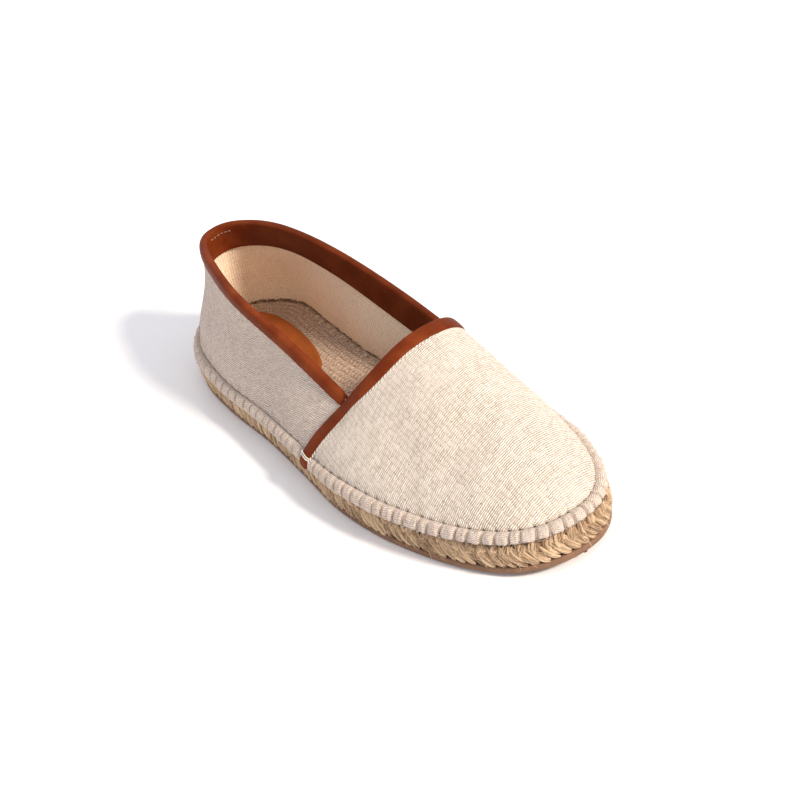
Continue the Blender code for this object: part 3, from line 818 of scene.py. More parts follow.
class Wiring:
    """A material being wired: each call adds a node and returns what it gives out."""

    def __init__(self, name, roughness, **settings):
        self.material = bpy.data.materials.new(name)
        self.material.use_nodes = True
        self.tree = self.material.node_tree
        self.shader = self.tree.nodes["Principled BSDF"]
        self.shader.inputs["Roughness"].default_value = roughness
        for socket, value in settings.items():
            self.shader.inputs[socket.replace("_", " ")].default_value = value

    def put(self, value, socket):
        if isinstance(value, Value):
            self.tree.links.new(value.socket, socket)
        else:
            socket.default_value = value

    def node(self, kind, inputs, output=0, **settings):
        node = self.tree.nodes.new(kind)
        for name, value in settings.items():
            setattr(node, name, value)
        for socket, value in inputs.items():
            self.put(value, node.inputs[socket])
        return Value(self, node.outputs[output])

    def split(self, vector, axis):
        return self.node("ShaderNodeSeparateXYZ", {0: vector}, axis)

    def uv(self):
        uv = self.node("ShaderNodeUVMap", {}, uv_map="UVMap")
        return self.split(uv, "X"), self.split(uv, "Y")

    def join(self, x, y):
        return self.node("ShaderNodeCombineXYZ", {0: x, 1: y})

    def position(self):
        """Where a point lies on the shoe, in metres from the middle of the floor under it."""
        return self.node("ShaderNodeTexCoord", {}, "Object")

    def noise(self, vector, scale, detail=2.0, roughness=0.5):
        inputs = {"Vector": vector, "Scale": scale, "Detail": detail, "Roughness": roughness}
        return self.node("ShaderNodeTexNoise", inputs, "Fac")

    def cells(self, vector, scale):
        inputs = {"Vector": vector, "Scale": scale}
        return self.node("ShaderNodeTexVoronoi", inputs, "Distance", feature="F1")

    def speck(self, vector):
        """One random value for each place."""
        return self.node("ShaderNodeTexWhiteNoise", {"Vector": vector}, noise_dimensions="2D")

    def tone(self):
        return self.node("ShaderNodeAttribute", {}, "Fac", attribute_name="tone")

    def mix(self, factor, first, second):
        colours = [value if isinstance(value, Value) else (*value, 1.0) for value in (first, second)]
        inputs = {0: factor, 6: colours[0], 7: colours[1]}
        return self.node("ShaderNodeMix", inputs, 2, data_type="RGBA", blend_type="MIX")

    def bump(self, height, depth, normal=None):
        """Raises the surface by a height of 0 to 1 times depth, in metres, over another bump."""
        inputs = {"Strength": 1.0, "Distance": depth, "Height": height}
        if normal is not None:
            inputs["Normal"] = normal
        return self.node("ShaderNodeBump", inputs)

    def finish(self, colour, normal=None, roughness=None):
        for name, value in (("Base Color", colour), ("Normal", normal), ("Roughness", roughness)):
            if value is not None:
                self.put(value, self.shader.inputs[name])
        return self.material


def shaded(colour, share):
    return tuple(min(share * part, 1.0) for part in colour)


def canvas_material(name, light, shade, weave, depth):
    """Canvas of short yarn floats stacked in slanting wales, with painted shade in the hollows between
    them; weave holds the steps from float to float.
    """
    wire = Wiring(name, 0.92, Sheen_Weight=0.12, Sheen_Roughness=0.6, Specular_IOR_Level=0.12)
    u, v = wire.uv()
    cloth = wire.join(u, v)
    drift = wire.noise(cloth, 260.0, detail=3.0, roughness=0.6) * CANVAS["drift"]
    (length_u, length_v), (step_u, step_v) = weave
    size = length_u * step_v - length_v * step_u
    place = u * (step_v / size) - v * (step_u / size) + drift
    shift = wire.speck(wire.join(place.math("FLOOR"), 0.0)) * CANVAS["shift"]
    row = v * (length_u / size) - u * (length_v / size) + drift + shift
    arch = (place.math("FRACT") * math.pi).math("SINE") ** CANVAS["arch"]
    across = (row.math("FRACT") * math.pi).math("SINE") ** CANVAS["across"]
    yarn = (arch * (1 - CANVAS["end"]) + CANVAS["end"]) * across
    cell = wire.speck(wire.join(place.math("FLOOR"), row.math("FLOOR")))
    slub = wire.noise(wire.join(place * 0.35, row * 1.2), 1.0)
    height = yarn * (slub * CANVAS["slub"] + 0.5)
    # Painted shade: the tops of the yarns take the light colour and the hollows between them the shade
    # colour
    lit = height * CANVAS["relief_painted_shading"] + cell * CANVAS["cell_tone"]
    colour = wire.mix(lit.spread(0.05, 0.85), shade, light)
    patch = wire.noise(cloth, 26.0, detail=3.0)
    colour = wire.mix(patch.spread(0.35, 0.7, 0.0, 0.25), colour, shaded(light, 0.84))
    # Painted shade: scattered pinholes in the weave, coloured dark as the shade inside them
    hole = wire.noise(cloth, 900.0, detail=1.0).spread(0.66, 0.74, 0.0, 0.6)
    colour = wire.mix(hole, colour, shaded(shade, 0.35))
    fibre = wire.bump(wire.noise(cloth, 5200.0), depth * 0.25)
    return wire.finish(colour, wire.bump(height, depth, fibre))


def leather_material(name, base, light, grain_scale, roughness):
    """Smooth dyed leather: pebbled grain, cloudy dye, paler rubbed spots, and painted shade that darkens it
    towards the inner side.
    """
    wire = Wiring(name, roughness, Specular_IOR_Level=0.04)
    where = wire.position()
    cloud = wire.noise(where, 90.0, detail=3.0)
    rub = wire.noise(where, 420.0, detail=3.0, roughness=0.6)
    colour = wire.mix(cloud.spread(0.35, 0.75), base, light)
    colour = wire.mix(rub.spread(0.55, 0.85, 0.0, 0.35), colour, shaded(light, 1.5))
    # Painted shade: towards the inner (medial) side the leather is coloured darker, as that side lies in
    # shade
    inner_side_painted_shade = wire.split(where, "X").spread(-0.036, -0.004, 0.45, 0.0)
    colour = wire.mix(inner_side_painted_shade, colour, shaded(base, 0.45))
    pores = wire.bump(wire.noise(where, grain_scale * 1.7), PORE_DEPTH)
    grain = wire.bump(wire.cells(where, grain_scale), GRAIN_DEPTH, pores)
    return wire.finish(colour, grain, cloud.spread(0.3, 0.8, roughness - 0.06, roughness + 0.10))


def jute_material(name, light, dark):
    """Plaited jute: long fibres along each strand, each strand in its own tone, and painted light and shade
    that make it paler towards the heel than at the toe.
    """
    wire = Wiring(name, 0.88, Specular_IOR_Level=0.2, Sheen_Weight=0.1)
    u, v = wire.uv()
    streak = wire.noise(wire.join(u * 260.0, v * 3200.0), 1.0, detail=4.0, roughness=0.65)
    clump = wire.noise(wire.join(u * 120.0, v * 700.0), 1.0)
    # Painted light and shade: the jute is coloured paler towards the heel and darker towards the toe,
    # following how the light falls on the sole's sides
    heel = wire.split(wire.position(), "Y").spread(-0.10, 0.10, 0.14, 0.0)
    mixed = streak * 0.9 + clump * 0.45 - wire.tone() * 0.35 + heel
    colour = wire.mix(mixed.spread(0.25, 0.85), dark, light)
    streaks = wire.bump(streak, STREAK_DEPTH)
    return wire.finish(colour, wire.bump(clump, CLUMP_DEPTH, streaks))


def insole_material():
    """The top of the jute slab: flat braid, with fibres that lean one way in a row and back in the next;
    its crests are painted lighter and the seams between rows darker, as light and shade.
    """
    wire = Wiring("insole braid", 0.9, Specular_IOR_Level=0.15, Sheen_Weight=0.1)
    u, v = wire.uv()
    lean = v.math("PINGPONG", BRAID_ROW) * (BRAID_SLANT / BRAID_ROW)
    turns = u * (1 / BRAID_KNUCKLE) + (lean - BRAID_SLANT / 2)
    knuckle = (turns * FULL).math("COSINE")
    streak = wire.noise(wire.join(turns * 7.0, v * 700.0), 1.0, detail=4.0, roughness=0.7)
    patch = wire.noise(wire.join(u, v), 700.0, detail=3.0)
    # knuckle lightens the braid's crests a little: painted highlight
    mixed = streak * 0.8 + patch * 0.45 + knuckle * 0.06
    colour = wire.mix(mixed.spread(0.4, 0.9), BRAID_DARK, BRAID_LIGHT)
    # Painted shade: darker where the braid rows meet, in the dips of the relief
    seam = (v * (math.pi / BRAID_ROW)).math("SINE").math("ABSOLUTE")
    colour = wire.mix(seam.spread(0.0, 0.5, 0.4, 0.0), colour, shaded(BRAID_DARK, 0.5))
    return wire.finish(colour, wire.bump(streak, BRAID_DEPTH))


def rubber_material():
    """Thin moulded rubber: matte, with rubbed paler dust and fine grit."""
    wire = Wiring("outsole rubber", 0.72, Specular_IOR_Level=0.35)
    where = wire.position()
    dust = wire.noise(where, 180.0, detail=4.0, roughness=0.6)
    colour = wire.mix(dust.spread(0.4, 0.75, 0.0, 0.6), RUBBER_BROWN, shaded(RUBBER_BROWN, 1.6))
    return wire.finish(colour, wire.bump(wire.noise(where, 2400.0), GRAIN_DEPTH))


def thread_material(name, colour):
    """Twisted cotton thread: fine slanted plies, the grooves between them painted darker as shade."""
    wire = Wiring(name, 0.8, Sheen_Weight=0.2)
    u, v = wire.uv()
    ply = ((u * 1400.0 + v * 900.0).math("FRACT") * math.pi).math("SINE")
    # Painted shade: the thread is coloured darker in the grooves between its plies
    return wire.finish(wire.mix(ply * 0.8, shaded(colour, 0.6), colour), wire.bump(ply, PLY_DEPTH))


def make_materials():
    return {
        "vamp": canvas_material("vamp canvas", CREAM, CREAM_SHADE, WEAVES["vamp"], WEAVE_DEPTH),
        "quarter": canvas_material(
            "quarter canvas", GREY_CREAM, GREY_CREAM_SHADE, WEAVES["quarter"], WEAVE_DEPTH
        ),
        # The hem's canvas, darkened as painted shade
        "hem": canvas_material("hem canvas in painted shade", HEM_CREAM_IN_PAINTED_SHADE, HEM_SHADE, WEAVES["hem"], WEAVE_DEPTH),
        "lining": canvas_material(
            "lining canvas", LINING_LIGHT, LINING_SHADE, WEAVES["lining"], WEAVE_DEPTH / 2
        ),
        "leather": leather_material("cognac leather", COGNAC, COGNAC_LIGHT, 2200.0, 0.42),
        "pad": leather_material("tan pad leather", PAD_TAN, shaded(PAD_TAN, 1.25), 1700.0, 0.5),
        "jute": jute_material("jute strands", JUTE_LIGHT, JUTE_DARK),
        # Painted shade: the core shows only in the gaps between strands and is coloured far darker than
        # jute
        "core": jute_material("jute_core_in_painted_shade", shaded(JUTE_DARK, 0.6), shaded(JUTE_DARK, 0.25)),
        "fibre": jute_material("loose jute", shaded(JUTE_LIGHT, 1.15), JUTE_LIGHT),
        "lint": jute_material("seam lint", shaded(JUTE_DARK, 1.6), shaded(JUTE_DARK, 0.4)),
        "insole": insole_material(),
        "rubber": rubber_material(),
        "thread": thread_material("stitching thread", THREAD_WHITE),
        # Dark thread for the hem and the heel; in the hem's notches its darkness is painted shade
        "dark_thread_and_notch_shade": thread_material("dark thread and painted notch shade", DARK_THREAD_AND_NOTCH_SHADE),
    }


def make_hem(material):
    """The rolled canvas hem, pulled into puffs by the stitches that hold it to the jute."""
    places = np.linspace(0, len(RIM["inset"]) - 1, HEM_ROWS)
    angles = even_angles(STITCHES * STEPS_PER_STITCH)
    grid = rim_rows(angles, places)
    normals = grid_normals(grid)
    share = places / places[-1]
    body = np.sin(np.clip((share - ROLL_START) / ROLL_LENGTH, 0, 1) * math.pi) ** 0.5
    pit = PIT_SHARE * np.exp(-(((share - PIT_PLACE) / PIT_WIDTH) ** 2))
    at = stitch_place(angles)
    between = np.mod(at, 1.0)
    pull = notches(angles)
    notch, lean, slim = (table_at(PUFFS, name, angles) for name in ("notch", "lean", "slim"))
    size = 1 + PUFF_SIZES * (random.random(STITCHES + 1)[np.floor(at).astype(int)] - 0.5)
    rise = size * (between - PUFF_LOW_END) * (1 - pull) * lean
    crown = np.sin(between * math.pi) ** 0.7 * PUFF_CROWN * size
    ripple = sum(height * np.sin(at[:, None] * waves + share * slant) for height, waves, slant in RIPPLES)
    stand = (rise + crown - slim)[:, None] * body + ripple * body - (pull * notch)[:, None] * (body + pit)
    add_ring("hem", grid + normals * stand[..., None], material, "upper")


def canvas_grid(angles, edges, rows, normals, level):
    """The canvas's outer face, raised by a level, with its creases and its pucker at each stitch."""
    grid = wall_surface(angles, edges, rows)
    up = np.linspace(0, 1, rows)[None, :]
    raised = level * np.clip(up * (WALL_ROWS - 1), 0, 1)
    pull = notches(angles)[:, None]
    notch = table_at(PUFFS, "notch", angles)[:, None]
    pucker = pull * notch * np.exp(-up / PUCKER_REACH) * PUCKER_SHARE
    swell = SWELL * (1 - pull) * np.exp(-(((up - SWELL_PLACE) / SWELL_REACH) ** 2))
    free = np.clip(up * CREASE_FADE, 0, 1) * np.clip((1 - up) * CREASE_FADE, 0, 1)
    stand = raised + crease_heights(grid) * free + swell - pucker
    return grid + normals * stand[..., None]


def normals_between(normals, column_places, rows):
    """Normals at places between the columns of the part's own wall, for this many rows."""
    row_places = np.linspace(0, WALL_ROWS - 1, rows)
    c = np.clip(np.floor(column_places).astype(int), 0, len(normals) - 2)
    r = np.clip(np.floor(row_places).astype(int), 0, WALL_ROWS - 2)
    fc = (column_places - c)[:, None, None]
    fr = (row_places - r)[None, :, None]
    low = normals[c][:, r] * (1 - fr) + normals[c][:, r + 1] * fr
    high = normals[c + 1][:, r] * (1 - fr) + normals[c + 1][:, r + 1] * fr
    return unit(low * (1 - fc) + high * fc)


def lay_flat(mesh, grid):
    """Lays the vamp's canvas out flat as its UVs, with its warp along the shoe, in metres."""
    obj = bpy.data.objects.new("layout", mesh)
    bpy.context.scene.collection.objects.link(obj)
    bpy.context.view_layer.objects.active = obj
    obj.select_set(True)
    bpy.ops.object.mode_set(mode="EDIT")
    bpy.ops.mesh.select_all(action="SELECT")
    bpy.ops.uv.unwrap(method="MINIMUM_STRETCH", iterations=40, margin=0.0)
    bpy.ops.object.mode_set(mode="OBJECT")
    bpy.data.objects.remove(obj)
    layer = mesh.uv_layers["UVMap"]
    flat = np.empty(len(mesh.loops) * 2)
    layer.data.foreach_get("uv", flat)
    flat = flat.reshape(-1, 2)
    corner = np.empty(len(mesh.loops), int)
    mesh.loops.foreach_get("vertex_index", corner)
    plan = grid.reshape(-1, 3)[corner][:, :2]
    source = (flat - flat.mean(axis=0)) @ np.array([1.0, 1j])
    target = (plan - plan.mean(axis=0)) @ np.array([1.0, 1j])
    turn = np.vdot(source, target)
    mirrored = np.vdot(source.conj(), target)
    if abs(mirrored) > abs(turn):
        source, turn = source.conj(), mirrored
    edges = np.array([edge.vertices[:] for edge in mesh.edges])
    spread = np.zeros(len(mesh.vertices), complex)
    spread[corner] = source
    real = np.linalg.norm(np.diff(grid.reshape(-1, 3)[edges], axis=1)[:, 0], axis=1).sum()
    laid = np.abs(spread[edges[:, 0]] - spread[edges[:, 1]]).sum()
    out = source * turn / abs(turn) * real / laid
    layer.data.foreach_set("uv", np.stack([out.real, out.imag], axis=1).ravel())


def make_vamp(material):
    """The vamp's canvas, over the quarters by a step, from side to side of the sole over the toe."""
    per_stitch, rows = VAMP_GRID
    shares = np.linspace(0, 1, STITCHES * per_stitch + 1)
    own = WALL_NORMALS[VAMP_START : VAMP_START + VAMP_COLUMNS + 1]
    fine = normals_between(own, shares * VAMP_COLUMNS, rows)
    angles = angles_between(CORNER, FULL - CORNER, shares)
    grid = canvas_grid(angles, points_along(throat(), shares), rows, fine, VAMP_STEP)
    mesh = sheet_mesh("vamp", grid)
    lay_flat(mesh, grid)
    new_object("vamp", mesh, material, ["upper"])


def make_quarters(material):
    """The quarters' canvas, one strip from the medial vamp line round the heel to the lateral one."""
    count, rows = QUARTER_GRID
    last = QUARTER_COLUMNS + 1
    shares = np.linspace(0, 1, count + 1) ** QUARTER_EASE
    place = np.interp(shares, quarter_shares(QUARTER_COLUMNS), np.arange(last + 1))
    ring = np.concatenate([WALL_NORMALS, WALL_NORMALS[:1]])
    lateral = normals_between(ring[: last + 1], place, rows)
    medial = normals_between(ring[: -last - 2 : -1], place, rows)
    back = angles_between(FULL, FULL - CORNER, shares)[:0:-1]
    angles = np.concatenate([back, angles_between(0, CORNER, shares)])
    medial_edge = points_along(topline("medial"), shares)[:0:-1]
    edges = np.concatenate([medial_edge, points_along(topline("lateral"), shares)])
    grid = canvas_grid(angles, edges, rows, np.concatenate([medial[:0:-1], lateral]), 0.0)
    new_object("quarters", sheet_mesh("quarters", grid), material, ["upper"])


def make_lining(material):
    """The inside of the canvas wall, from the insole up to the opening."""
    columns, rows = LINING_GRID
    count = len(WALL_ANGLES)
    places = np.linspace(0, count, columns, endpoint=False)
    turns = np.interp(places, np.arange(count + 1), np.append(WALL_ANGLES, FULL))
    ring = np.concatenate([WALL_EDGES, WALL_EDGES[:1]])
    tops = np.stack([at_row(ring, place) for place in places])
    fine = normals_between(np.concatenate([WALL_NORMALS, WALL_NORMALS[:1]]), places, rows)
    grid = wall_surface(turns, tops, rows) - fine * CANVAS_WALL
    base = grid[:, :1].copy()
    base[:, :, 2] = sole_top(base[:, :, 1])
    add_ring("lining", np.concatenate([grid[:, ::-1], base], axis=1), material, "upper")


def collar_section():
    """Points of the folded collar leather: distance below the edge, and height over the canvas face."""
    inside = -CANVAS_WALL - GAP
    lining = inside - LEATHER
    proud = GAP + LEATHER
    return [
        (COLLAR_OUTSIDE, 0.3 * GAP),
        (COLLAR_OUTSIDE, 0.3 * GAP + 0.6 * LEATHER),
        (COLLAR_OUTSIDE - 0.6 * LEATHER, proud),
        (0.4 * COLLAR_OUTSIDE, proud + 0.2 * LEATHER),
        (-GAP, proud + 0.1 * LEATHER),
        (-GAP - 1.1 * LEATHER, 0.4 * LEATHER),
        (-GAP - 1.4 * LEATHER, -0.5 * CANVAS_WALL),
        (-GAP - 1.1 * LEATHER, lining + 0.5 * LEATHER),
        (-GAP, lining - 0.1 * LEATHER),
        (0.5 * COLLAR_INSIDE, lining),
        (COLLAR_INSIDE - 0.5 * LEATHER, lining),
        (COLLAR_INSIDE, lining + 0.4 * LEATHER),
        (COLLAR_INSIDE, inside),
        (0.5 * COLLAR_INSIDE, inside),
        (-GAP, inside),
        (-GAP, GAP),
    ]


def make_collar(material):
    """The leather folded over the collar, narrow outside, a tall facing inside."""
    sections = []
    for column in range(-QUARTER_COLUMNS, QUARTER_COLUMNS + 1):
        outside = WALL[column, ::-1]
        inside = WALL_INNER[column, ::-1]
        away = WALL_NORMALS[column, ::-1]
        back = unit(outside[0] - outside[1])
        section = []
        for below, over in collar_section():
            beyond = over < -CANVAS_WALL
            line = inside if beyond else outside
            row = np.interp(max(below, 0), run_lengths(line), np.arange(WALL_ROWS))
            lift = over + CANVAS_WALL if beyond else over
            section.append(at_row(line, row) + unit(at_row(away, row)) * lift + back * max(-below, 0))
        sections.append(np.array(section))
    for end, before in ((0, 1), (-1, -2)):
        onward = unit((sections[end] - sections[before]).mean(axis=0))
        sections[end] = sections[end] + onward * COLLAR_RUN_ON
    add_solid("collar_leather", sections, material, "collar_binding")
    return np.array(sections)


def binding_section(step, depth, turn_in):
    """Points of the vamp's binding: distance ahead of the vamp's edge, and height over its face."""
    proud = GAP + LEATHER
    near = -2 * GAP
    rear = near - LEATHER
    bottom = -step - depth * (CANVAS_WALL + 2 * GAP + LEATHER)
    inside = bottom + max(depth * LEATHER, FOLD_EDGE)
    forward = near + max(turn_in * (BINDING_TURN_IN - near), FOLD_EDGE)
    return [
        (BINDING_WIDTH, 0.3 * GAP),
        (BINDING_WIDTH, GAP + 0.6 * LEATHER),
        (BINDING_WIDTH - 0.7 * LEATHER, proud),
        (BINDING_WIDTH / 2, proud + 0.25 * LEATHER),
        (near, proud),
        (rear + 0.1 * LEATHER, proud - 0.4 * LEATHER),
        (rear, -0.3 * step),
        (rear, bottom + 0.3 * LEATHER),
        (rear + 0.5 * LEATHER, bottom),
        (forward, bottom),
        (forward, inside),
        (near, inside),
        (near, GAP),
        (BINDING_WIDTH / 2, GAP),
    ]


def eased(rows, times):
    """Rows with each one drawn towards its neighbours, so often; the first and last stay."""
    for _ in range(times):
        rows = rows.copy()
        rows[1:-1] = rows[:-2] / 4 + rows[1:-1] / 2 + rows[2:] / 4
    return rows


def surface_tree(grid):
    columns, rows = grid.shape[:2]
    faces = []
    for column in range(columns):
        there = (column + 1) % columns * rows
        here = column * rows
        faces += [(here + row, here + row + 1, there + row + 1, there + row) for row in range(rows - 1)]
    return BVHTree.FromPolygons(grid.reshape(-1, 3).tolist(), faces)


def drape(tree, point, up):
    spot, facing, _, _ = tree.find_nearest(Vector(point))
    return np.array(spot), unit(up + np.array(facing) * np.sign(np.dot(facing, up)))


def make_vamp_edge(material):
    """The leather bound over the vamp's rear edge, from the sole over the instep and down again."""
    level = WALL_RAISED[:, None, None] * np.ones((1, WALL_ROWS, 1))
    level[:, 0] = 0
    outer = WALL + WALL_NORMALS * level * VAMP_STEP
    rim = rim_rows(WALL_ANGLES)[:, BINDING_RIM_ROWS]
    surface = np.concatenate([rim, outer[:, 1:]], axis=1)
    facing = wall_normals(surface)
    rim_under = rim - facing[:, : rim.shape[1]] * (VAMP_STEP + CANVAS_WALL)
    under = np.concatenate([rim_under, WALL_INNER[:, 1:]], axis=1)
    first = VAMP_START
    last = first + VAMP_COLUMNS
    outer_tree = surface_tree(surface)
    inner_tree = surface_tree(WALL_INNER)
    behind_tree = surface_tree(np.delete(surface, slice(first, last + 1), axis=0))
    climb = list(range(surface.shape[1] - 1))
    places = [(first, row) for row in climb]
    places += [(column, surface.shape[1] - 1) for column in range(first, last + 1)]
    places += [(last, row) for row in climb[::-1]]
    line = np.array([surface[place] for place in places])
    below = np.array([under[place] for place in places])
    away = eased(np.array([facing[place] for place in places]), 3)
    ahead = np.cross(eased(np.gradient(line, axis=0), 3), away)
    ahead *= np.sign(ahead[:, 1:2]) / np.linalg.norm(ahead, axis=1, keepdims=True)
    away = unit(np.cross(np.cross(ahead, away), ahead))
    sections = []
    for place, (start, deep, forward, up) in enumerate(zip(line, below, ahead, away)):
        from_end = min(place, len(places) - 1 - place)
        past_corner = from_end - len(climb)
        step = VAMP_STEP * min(max(from_end - rim.shape[1] + 1, 0), 1) - GAP
        depth = min(max(past_corner - 1, 0), 1)
        turn_in = min(max(past_corner - 2, 0) / 2, 1)
        down = unit(deep - start)
        section = []
        for reach, height in binding_section(step, depth, turn_in):
            if reach <= 0 and height < 0 and past_corner < 1:
                point, normal = drape(behind_tree, start + forward * reach + down * step, up)
                point = point + normal * (height + step + GAP)
            elif reach <= 0:
                point = start + forward * reach + (up * height if height > 0 else -down * height)
            elif height > 0:
                point, normal = drape(outer_tree, start + forward * reach, up)
                point = point + normal * height
            else:
                point, normal = drape(inner_tree, deep + forward * reach, up)
                point = point + normal * (height + VAMP_STEP + CANVAS_WALL)
            section.append(point)
        sections.append(np.array(section))
    sections = eased(np.array(sections), 2)
    add_solid("vamp_leather", sections, material, "vamp_binding")
    return sections, away


def strand_paths(tier, places):
    """Centre lines of one tier of jute strands: lean along the sole, inset and height at each place."""
    count = int(round(PERIMETER / tier["pitch"]))
    base = (np.arange(count) + tier["phase"]) * PERIMETER / count
    at = np.linspace(0, 1, places)
    tables = (tier[name] for name in ("lean", "inset", "height"))
    lean, inset, height = (smooth(np.linspace(0, 1, len(table)), table, at) for table in tables)
    jitter = random.normal(0, STRAND_STRAY, (count, 1))
    ahead = outline(angles_between(0, FULL, base / PERIMETER))[:, 1] / SOLE_LENGTH
    leaning = smooth(STRAND_LEAN["along"], STRAND_LEAN["share"], ahead)[:, None]
    run = np.mod(base[:, None] + lean[None] * leaning + jitter * STRAY_ALONG, PERIMETER)
    angles = angles_between(0, FULL, (run / PERIMETER).ravel()).reshape(run.shape)
    away = outward(angles)
    edge = outline(angles)
    plan = edge - away * (inset[None] + np.abs(jitter) * STRAY_IN)[..., None]
    droop = smooth(tier["along"], tier["droop"], edge[..., 1] / SOLE_LENGTH) * at**2
    z = OUTSOLE_THICKNESS + GAP + height[None] - droop + spring(edge[..., 1]) + jitter * STRAY_UP
    ups = np.concatenate([away, np.full(away.shape[:2] + (1,), STRAND_TILT)], axis=-1)
    return np.concatenate([plan, z[..., None]], axis=-1), unit(ups)


def make_jute(material, core):
    """The slab's side: a low tier of strands that lean forward, an upper one that turns in, and a core,
    coloured dark as painted shade between them.
    """
    taper = np.sin(np.linspace(*STRAND_TAPER, STRAND_PLACES) * math.pi) ** 0.5
    tiers = []
    for tier in (LOW_TIER, HIGH_TIER):
        paths, ups = strand_paths(tier, STRAND_PLACES)
        plies, radius, count = tier["plies"], tier["radius"], len(paths)
        spread = np.linspace(-1, 1, plies) * radius * PLY_SPREAD
        across = unit(np.cross(unit(np.gradient(paths, axis=1)), ups))
        uneven = 1 + random.normal(0, STRAND_SIZES, (count, 1))
        sizes = radius * PLY_THICKNESS / plies * 2 * taper[None] * uneven
        plied = []
        for number, shift in enumerate(spread):
            phase = number * PLY_LAG + random.random((count, 1)) * 6
            wave = PLY_WAVE * np.sin(np.linspace(0, PLY_WAVES, STRAND_PLACES)[None, :] + phase)
            arch = radius * PLY_ARCH * math.sqrt(1 - (PLY_ROUND * shift / spread[-1]) ** 2)
            stray = random.normal(0, PLY_STRAY, (count, 1))
            rise = arch * taper[None] + wave + stray
            plied.append(paths + across * (shift * taper + 0.8 * stray)[..., None] + ups * rise[..., None])
        lines = np.concatenate(plied)
        radii = np.concatenate([sizes] * plies) * random.uniform(*PLY_SIZES, (len(lines), 1))
        ups = np.concatenate([ups] * plies)
        look = (material, "jute", ["jute_sole"])
        add_tubes(tier["name"], lines, ups, radii, THREAD_SIDES, *look, **PLY_TWIST)
        tiers.append((lines, ups, sizes.mean()))
    foot = OUTSOLE_THICKNESS + GAP
    levels = [(inset, foot + height) for inset, height in CORE_LEVELS]
    add_ring("jute_core_in_painted_shade", band_grid(even_angles(CORE_COLUMNS), levels), core, "jute_sole")
    return tiers


def band_grid(angles, levels):
    """Rows round the sole's side, each at its inset from the outline and its height over the floor."""
    edge, away = outline(angles), outward(angles)
    rows = [
        np.column_stack([edge - away * inset, height + spring(edge[:, 1])]) for inset, height in levels
    ]
    return np.stack(rows, axis=1)


def plan_grid(y, inset, across):
    """Points at these lengths, from the medial edge to the lateral one, less an inset, at height 0."""
    turn = angle_at(y / SOLE_LENGTH)
    left = outline(FULL - turn)[:, 0] + inset
    right = outline(turn)[:, 0] - inset
    x = left[:, None] + (right - left)[:, None] * np.linspace(0, 1, across)[None]
    return np.stack([x, np.broadcast_to(y[:, None], x.shape), np.zeros_like(x)], axis=-1)


def make_insole(material):
    """The top of the jute slab inside the shoe, with the rows of its flat braid."""
    along, across = INSOLE_GRID
    grid = plan_grid(np.linspace(INSOLE_END, SOLE_LENGTH - INSOLE_END, along), BRAID_INSET, across)
    ring = even_angles(BRAID_COLUMNS)
    tree = KDTree(len(ring))
    for number, point in enumerate(outline(ring)):
        tree.insert((*point, 0.0), number)
    tree.balance()
    found = [tree.find(point) for point in grid.reshape(-1, 3).tolist()]
    inset = np.array([hit[2] for hit in found]).reshape(along, across)
    place = np.array([hit[1] for hit in found]).reshape(along, across) / len(ring) * PERIMETER
    row = np.floor(inset / BRAID_ROW)
    ridge = np.abs(np.sin(inset / BRAID_ROW * math.pi)) ** 0.6
    slant = np.where(row % 2 == 0, 1, -1) * (inset / BRAID_ROW - row - 0.5) * BRAID_SLANT
    knuckle = 0.5 + 0.5 * np.cos(FULL * (place / BRAID_KNUCKLE + slant))
    crest = ridge * (BRAID_VALLEY + (1 - BRAID_VALLEY) * knuckle)
    grid[:, :, 2] = sole_top(grid[:, :, 1]) + BRAID_RELIEF * (crest - 1)
    mesh = sheet_mesh("insole", grid, uv=np.stack([place, inset], axis=-1))
    new_object("insole", mesh, material, ["jute_sole"])


def make_outsole(material):
    """The thin rubber sheet, with a soft upper edge and a fine tread of cross grooves."""
    levels = [(OUTSOLE_INSET + inset, height) for inset, height in OUTSOLE_LEVELS]
    grid = band_grid(even_angles(OUTSOLE_COLUMNS), levels)
    add_ring("outsole_edge", grid, material, "outsole")
    along, across = TREAD_GRID
    y = np.linspace(0.0006, SOLE_LENGTH - 0.0006, along)
    turn = angle_at(y / SOLE_LENGTH)
    width = outline(turn)[:, 0] - outline(FULL - turn)[:, 0]
    grid = plan_grid(y, np.minimum(OUTSOLE_INSET + TREAD_INSET, 0.45 * width), across)
    bend = TREAD_WAVE * np.cos(grid[:, :, 0] / BALL_WIDTH * TREAD_BENDS)
    wave = 0.5 + 0.5 * np.cos(FULL * (y[:, None] + bend) / TREAD_PITCH)
    from_end = np.minimum(y - TREAD_PLAIN_END, SOLE_LENGTH - TREAD_PLAIN_END - y)
    inside = np.clip(from_end / 0.002, 0, 1)[:, None]
    grid[:, :, 2] = spring(y)[:, None] + TREAD_DEPTH * wave**3 * inside + 0.00001
    new_object("tread", sheet_mesh("tread", grid[:, ::-1]), material, ["outsole"])


def make_heel_pad(material):
    """The half-oval leather pad on the insole, with a rounded and pressed edge."""
    turn = np.linspace(0, FULL, PAD_COLUMNS, endpoint=False)
    rows = []
    for share, height in zip(PAD_SECTION["share"], PAD_SECTION["height"]):
        y = PAD_BACK + PAD_LENGTH * (1 - share * np.cos(turn)) / 2
        side = angle_at(y / SOLE_LENGTH)
        middle = (outline(side)[:, 0] + outline(FULL - side)[:, 0]) / 2
        x = middle + PAD_WIDTH / 2 * share * np.sin(turn)
        rows.append(np.column_stack([x, y, sole_top(y) + GAP + height * PAD_THICKNESS]))
    add_ring("pad_leather", np.stack(rows, axis=1), material, "heel_pad")


